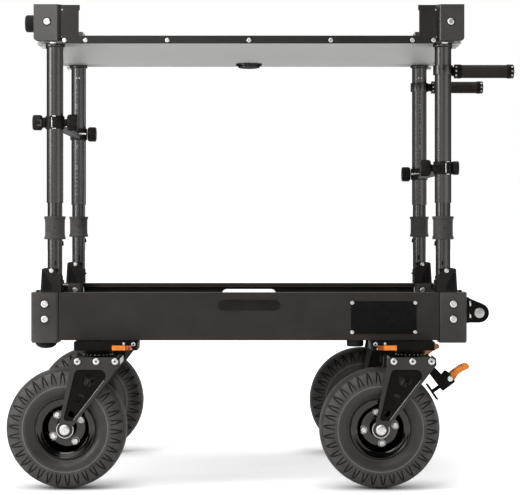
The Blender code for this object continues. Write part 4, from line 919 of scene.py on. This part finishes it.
def makeRim(label, x, y, node, angles, c):
    body, axleZ = node + "_wheel", c["axleZ"]

    def spotAt(radius, turn, out):
        return x + radius * math.cos(turn), y + out, axleZ + radius * math.sin(turn)

    line = rounded(c["rimLine"], 0.0016, 4, closed=False)
    rim = Shape().lathe(np.vstack([line, line[::-1] * (1, -1)]), "y", (x, y, axleZ), 96, ring=True)
    make(rim, label + "Rim", "rim", body, (node + "_rim",))
    bolts = Shape()
    for side in (-1, 1):
        for turn in np.radians(angles):
            bolts.rod("y", spotAt(c["hubBoltRing"], turn, side * 0.0058), 0.0086, 0, side * 0.0012)
            screwHead(bolts, "y", side, spotAt(c["hubBoltRing"], turn, side * 0.0070), 0.0076, 0.0046, 0.3)
    line = [(0, 0), (0.0034, 0), (0.0034, -0.010), (0.0026, -0.011), (0.0026, -0.018), (0, -0.0185)]
    valve = Shape().lathe(line, "y", spotAt(*c["valve"], -0.0056), 20)
    makeAll(body, (bolts, label + "HubBolts", "bright"), (valve, label + "Valve", "foot"))


def makeForkTrim(label, x, y, node, c):
    bolts, axle, bare = Shape(), Shape(), Shape()
    body, wheelX, axleZ = node + "_fork", x - c["trail"], c["axleZ"]
    head = np.array([(0, 0), (0.0116, 0), (0.0116, 0.0035), (0.0085, 0.0060), (0, 0.0063)])
    for side in (-1, 1):
        face = y + side * c["forkHalf"]
        for step in (-1, 0, 1):
            spot = (x + step * c["boltStep"], face + side * 0.0002, c["boltZ"])
            screwHead(bolts, "y", side, spot, c["boltRadius"], 0.0034, 0.32)
        axle.spun(head * (1, side), 0.0016, 4, "y", (wheelX, face, axleZ), 44)
        axle.tube("y", (wheelX, y + side * 0.0493, axleZ), 0.0170, 0.0184, -side * 0.001, side * 0.0006, 44)
    axle.rod("y", (wheelX, y, axleZ), 0.0079, -0.0552, 0.0552, 32)
    make(bolts, label + "ForkBolts", "steel", body)
    make(axle, label + "Axle", "steel", body, (node + "_axle",))
    # the crown's bare metal leading end, and a thin steel strand along each plate's slanting side as a painted
    # highlight on that edge
    (near, far), half, (low, high) = c["crownEnd"], c["crownHalf"], c["crownZ"]
    bare.box((x + near, y - half, low), (x + far, y + half, high))
    for side in (-1, 1):
        out = y + side * (c["forkHalf"] - 0.0002)
        bare.strand([(x + u, out, z) for u, z in c["slant"]], 0.0005, 8)
    make(bare, label + "BrightEdges", "dullSteel", body)


def makeMountTrim(label, x, y, sx, side, c):
    race = Shape().spun(c["race"], 0.0006, 2, "z", (x, y, 0), 56)
    balls, screws = Shape(), Shape()
    line = smoothLine([(0, -0.0016), (0.0011, -0.0011), (0.0016, 0), (0.0011, 0.0011), (0, 0.0016)], 7)
    for turn in turns(c["dots"]):
        balls.lathe(line, "z", (x + c["dotRing"] * math.cos(turn), y + c["dotRing"] * math.sin(turn), c["dotZ"]), 10)
    face = y + side * c["mountFace"]
    screws.tube("y", (x - sx * c["pivotX"], face, 0.3112), 0.0022, 0.0046, 0, side * 0.0016, 24)
    screwHead(screws, "y", side, (x - sx * 0.058, face, 0.3125), 0.0031, 0.0018)
    makeAll("base", (race, label + "Race", "powderDark"), (balls, label + "RaceDots", "steel"),
            (screws, label + "LockScrews", "steel"))


# a swivel lock: the pivot from the kingpin, and plans from the pivot, x outboard and y away from the cart
lock = {
    "pivot": (0.0785, 0.0538, 0.304),
    "bar": ((0.0165, -0.0070), (0.0445, -0.0070), (0.0450, -0.0030), (0.0450, 0.0010), (0.0445, 0.0015),
            (0.0165, 0.0015)), "barHalf": 0.0050,
    "knuckle": ((0.0020, -0.0068), (0.0160, -0.0068), (0.0160, 0.0012), (0.0100, 0.0050), (0.0075, 0.0032),
                (0.0050, 0.0062), (0.0020, 0.0064)), "knuckleHalf": 0.0046,
}


def makeLock(label, node, x, y, sx, side, k):
    # orange bar on a knuckle in the darker copy of the orange, painted shade, with a boss at the pivot
    inX, outY, z = k["pivot"]
    px, py, body = x - sx * inX, y + side * outY, node + "_swivel_lock"

    def flat(line, half):
        return Shape().slab([(px + sx * u, py + side * v) for u, v in line], "z", z - half, z + half)

    bar, knuckle = flat(k["bar"], k["barHalf"]), flat(k["knuckle"], k["knuckleHalf"])
    boss = Shape().rod("z", (px, py, 0), 0.0070, z - 0.0049, z + 0.0035)
    teeth = Shape()
    for step in range(3):
        screwHead(teeth, "z", 1, (px + sx * (-0.002 + 0.004 * step), py + side * 0.002, z + 0.0046), 0.0013, 0.0004)
    screwHead(teeth, "y", side, (px + sx * 0.003, py + side * 0.0064, z - 0.0018), 0.0014, 0.0006)
    make(bar, label + "LockBar", "orange", body, (body,), bevel=0.0012, segments=3)
    make(knuckle, label + "LockKnuckle", "orangeShadedCopy", body, bevel=0.0010)
    make(boss, label + "LockPost", "powderDark", body, bevel=0.0006)
    make(teeth, label + "LockPins", "steel", body)


# a foot brake's pin and tip, x from the kingpin and z
brake = {"pin": (0.0835, 0.2359), "tip": (0.1190, 0.2620), "half": 0.0143, "teeth": 7, "toothHalf": (0.0009, 0.0132)}


def makeBrake(label, node, x, y, b):
    # outline = the line from pin to tip, widened by up and down and bowed, with a half round at each end
    lever = node + "_brake_lever"
    dressed(node + "_brake_bracket", "powderDark", 0.0009)
    dressed(node + "_brake_pad", "powderDark", 0.0005)
    pin, tip = np.array(b["pin"]) + (x, 0), np.array(b["tip"]) + (x, 0)
    reach = np.linalg.norm(tip - pin)
    along = (tip - pin) / reach
    across = np.array([-along[1], along[0]])
    s = np.linspace(0, 1, 90)
    # upper edge with six teeth, lower edge with a dip behind the thumb pad
    tooth = 0.0008 * np.sign(np.sin(2 * math.pi * 8 * s)) * (s > 0.18) * (s < 0.92)
    up = 0.0062 + 0.0020 * np.exp(-((s - 0.05) / 0.20) ** 2) + tooth
    down = 0.0060 + 0.0042 * np.exp(-((s - 0.12) / 0.20) ** 2)
    bow = 0.0026 * np.sin(math.pi * s)

    def halfRound(middle, radius, start, steps):
        turn = np.linspace(start, start + math.pi, steps)[1:-1]
        return middle + radius * (np.cos(turn)[:, None] * along + np.sin(turn)[:, None] * across)

    low = pin + s[:, None] * reach * along - (down - bow)[:, None] * across
    high = pin + s[::-1, None] * reach * along + (up + bow)[::-1, None] * across
    outline = np.vstack([low, halfRound(tip, 0.0060, -math.pi / 2, 14), high,
                         halfRound(pin, 0.0080, math.pi / 2, 16)])
    shape = Shape().slab(outline, "y", y - b["half"], y + b["half"])
    make(shape, label + "BrakeLever", "orange", lever, (lever,), bevel=0.0006)
    heads, teeth = Shape(), Shape()
    for way in (-1, 1):
        screwHead(heads, "y", way, (pin[0], y + way * 0.0200, pin[1]), 0.0062, 0.0024, 0.4)
    half, wide = b["toothHalf"]
    for s in 0.24 + 0.1 * np.arange(b["teeth"]):
        tx, tz = pin + along * reach * s + across * (0.0062 + 0.0026 * math.sin(math.pi * s))
        teeth.box((tx - half, y - wide, tz - half), (tx + half, y + wide, tz + half))
    # the teeth take the darker copy of the orange: painted shade on the serrations
    makeAll(lever, (heads, label + "BrakePins", "steel"), (teeth, label + "BrakeTeeth", "orangeShadedCopy"))


def makeCasters(c):
    floor = c["forkHalf"] - c["pocketDepth"]
    for end, side in ends:
        for hand, sx in hands:
            node, label = "{}_{}".format(end, hand), end + hand.capitalize()
            x, y = c["x"][hand], side * c["y"]
            wheelX = x - c["trail"]
            dressed(node + "_fork", "fork", 0.0006, second="forkPocket",
                    chosen=lambda at, way, y=y: abs(way.y) > 0.99 and abs(abs(at.y - y) - floor) < 0.0003)
            dressed(node + "_mount", "powderDark", 0.0010)
            makeForkTrim(label, x, y, node, c)
            makeRim(label, wheelX, y, node, c["hubBolts"][hand], c)
            makeTyre(label, wheelX, y, node, 0.07 + 0.05 * sx + 0.03 * side, tyre)
            makeMountTrim(label, x, y, sx, side, c)
            makeLock(label, node, x, y, sx, side, lock)
            if hand == "right":
                makeBrake(label, node, x, y, brake)


makeCasters(caster)
print("casters made")

# lamps: name, place, size and power in watts
studio = {
    "floorColour": (0.62, 0.62, 0.62), "floorGlow": 0.63, "floorHalf": 30.0, "backdrop": 1.0, "room": 0.07,
    "lamps": (("keyLeft", (-1.75, -0.98, 1.30), (0.7, 1.8), 38.0),
              ("frontHigh", (-0.90, -2.9, 2.5), (1.4, 1.4), 34.0),
              ("frontLeft", (-1.15, -3.9, 1.1), (1.2, 1.2), 13.0),
              ("frontRight", (1.55, -1.5, 0.75), (1.3, 1.6), 8.0),
              ("topSoft", (0.1, -0.3, 3.2), (2.6, 2.2), 62.0),
              ("edgeRight", (2.3, 1.7, 0.9), (0.5, 1.8), 22.0)),
    "target": (-0.03, 0.0, 0.55),
}


def makeStudio(s):
    half = s["floorHalf"]
    corners = np.array([[(i * half, k * half, -0.0002) for i in (-1, 1)] for k in (-1, 1)])
    plane = placed("studioFloor", Shape().grid(corners, wrapCols=False).mesh("studioFloor", 30))
    # the floor glows a little for the camera, more with distance from a point left of the middle, so that the far
    # floor is white and the shadows right of the cart are lifted with painted light, and less where something stands
    # close, a painted contact shadow
    paint = Paint("studioFloor", s["floorColour"], 0.9, specular=0.0)
    path = rays = paint.node("ShaderNodeLightPath", {}, {}, "Is Camera Ray")
    for key in ("Is Glossy Ray", "Is Transmission Ray"):
        rays = rays.sum("MAXIMUM", rays, path.also(key))
    reach = paint.node("ShaderNodeVectorMath", {"operation": "ADD"}, {0: paint.place, 1: (0.15, 0, 0)})
    far = paint.node("ShaderNodeVectorMath", {"operation": "LENGTH"}, {0: reach}, "Value")
    fade = paint.node("ShaderNodeMapRange", {}, {"Value": far, "From Min": 0.6, "From Max": 1.6,
                                                 "To Min": s["floorGlow"], "To Max": 1.0})
    contactShade = paint.node("ShaderNodeAmbientOcclusion", {}, {"Distance": 0.10}, "AO")
    paint.feed("Emission Strength", rays * fade * contactShade ** 1.5)
    paint.shader.inputs["Emission Color"].default_value = (1, 1, 1, 1)
    plane.data.materials.append(paint.material)

    # the backdrop behind the cart is white for the camera, for glass and for metal; the room in front is dim
    world = bpy.data.worlds.new("studioWorld")
    bpy.context.scene.world = world
    world.use_nodes = True
    sky = Nodes(world.node_tree)
    light = sky.tree.nodes["Background"]
    light.inputs["Color"].default_value = (1, 1, 1, 1)
    rays = sky.node("ShaderNodeLightPath", {}, {}, "Is Camera Ray")
    seen = rays.sum("MAXIMUM", rays, rays.also("Is Transmission Ray"))
    way = sky.node("ShaderNodeTexCoord", {}, {}, "Generated")
    depth = sky.node("ShaderNodeSeparateXYZ", {}, {"Vector": way}, "Y")
    behind = sky.node("ShaderNodeMapRange", {}, {"Value": depth, "From Min": -0.2, "From Max": 0.9,
                                                 "To Min": s["room"], "To Max": s["backdrop"]})
    strength = sky.node("ShaderNodeMix", {}, {"Factor": seen, "A": behind, "B": s["backdrop"]}, "Result")
    sky.tree.links.new(strength.socket, light.inputs["Strength"])

    for name, place, size, power in s["lamps"]:
        lamp = bpy.data.lights.new(name, "AREA")
        lamp.shape, lamp.size, lamp.size_y, lamp.energy = "RECTANGLE", size[0], size[1], power
        holder = placed(name, lamp)
        holder.location = place
        # each lamp is turned so that it shines at the target
        x, y, z = np.array(s["target"]) - np.array(place)
        holder.rotation_euler = (math.atan2(math.hypot(x, y), -z), 0, math.atan2(y, x) - math.pi / 2)


makeStudio(studio)

# distance is from the front rail
cameraSet = {"lens": 125.6, "distance": 3.911, "height": 0.578, "shift": (0.0212, -0.0548)}
camera = placed("camera", bpy.data.cameras.new("camera"))
camera.location = (cartX, -base["halfWidth"] - cameraSet["distance"], cameraSet["height"])
camera.rotation_euler = (math.pi / 2, 0, 0)
camera.data.lens = cameraSet["lens"]
camera.data.shift_x, camera.data.shift_y = cameraSet["shift"]
camera.data.clip_end = 200.0
bpy.context.scene.camera = camera
bpy.context.scene.view_settings.view_transform = "Standard"
print("studio made")
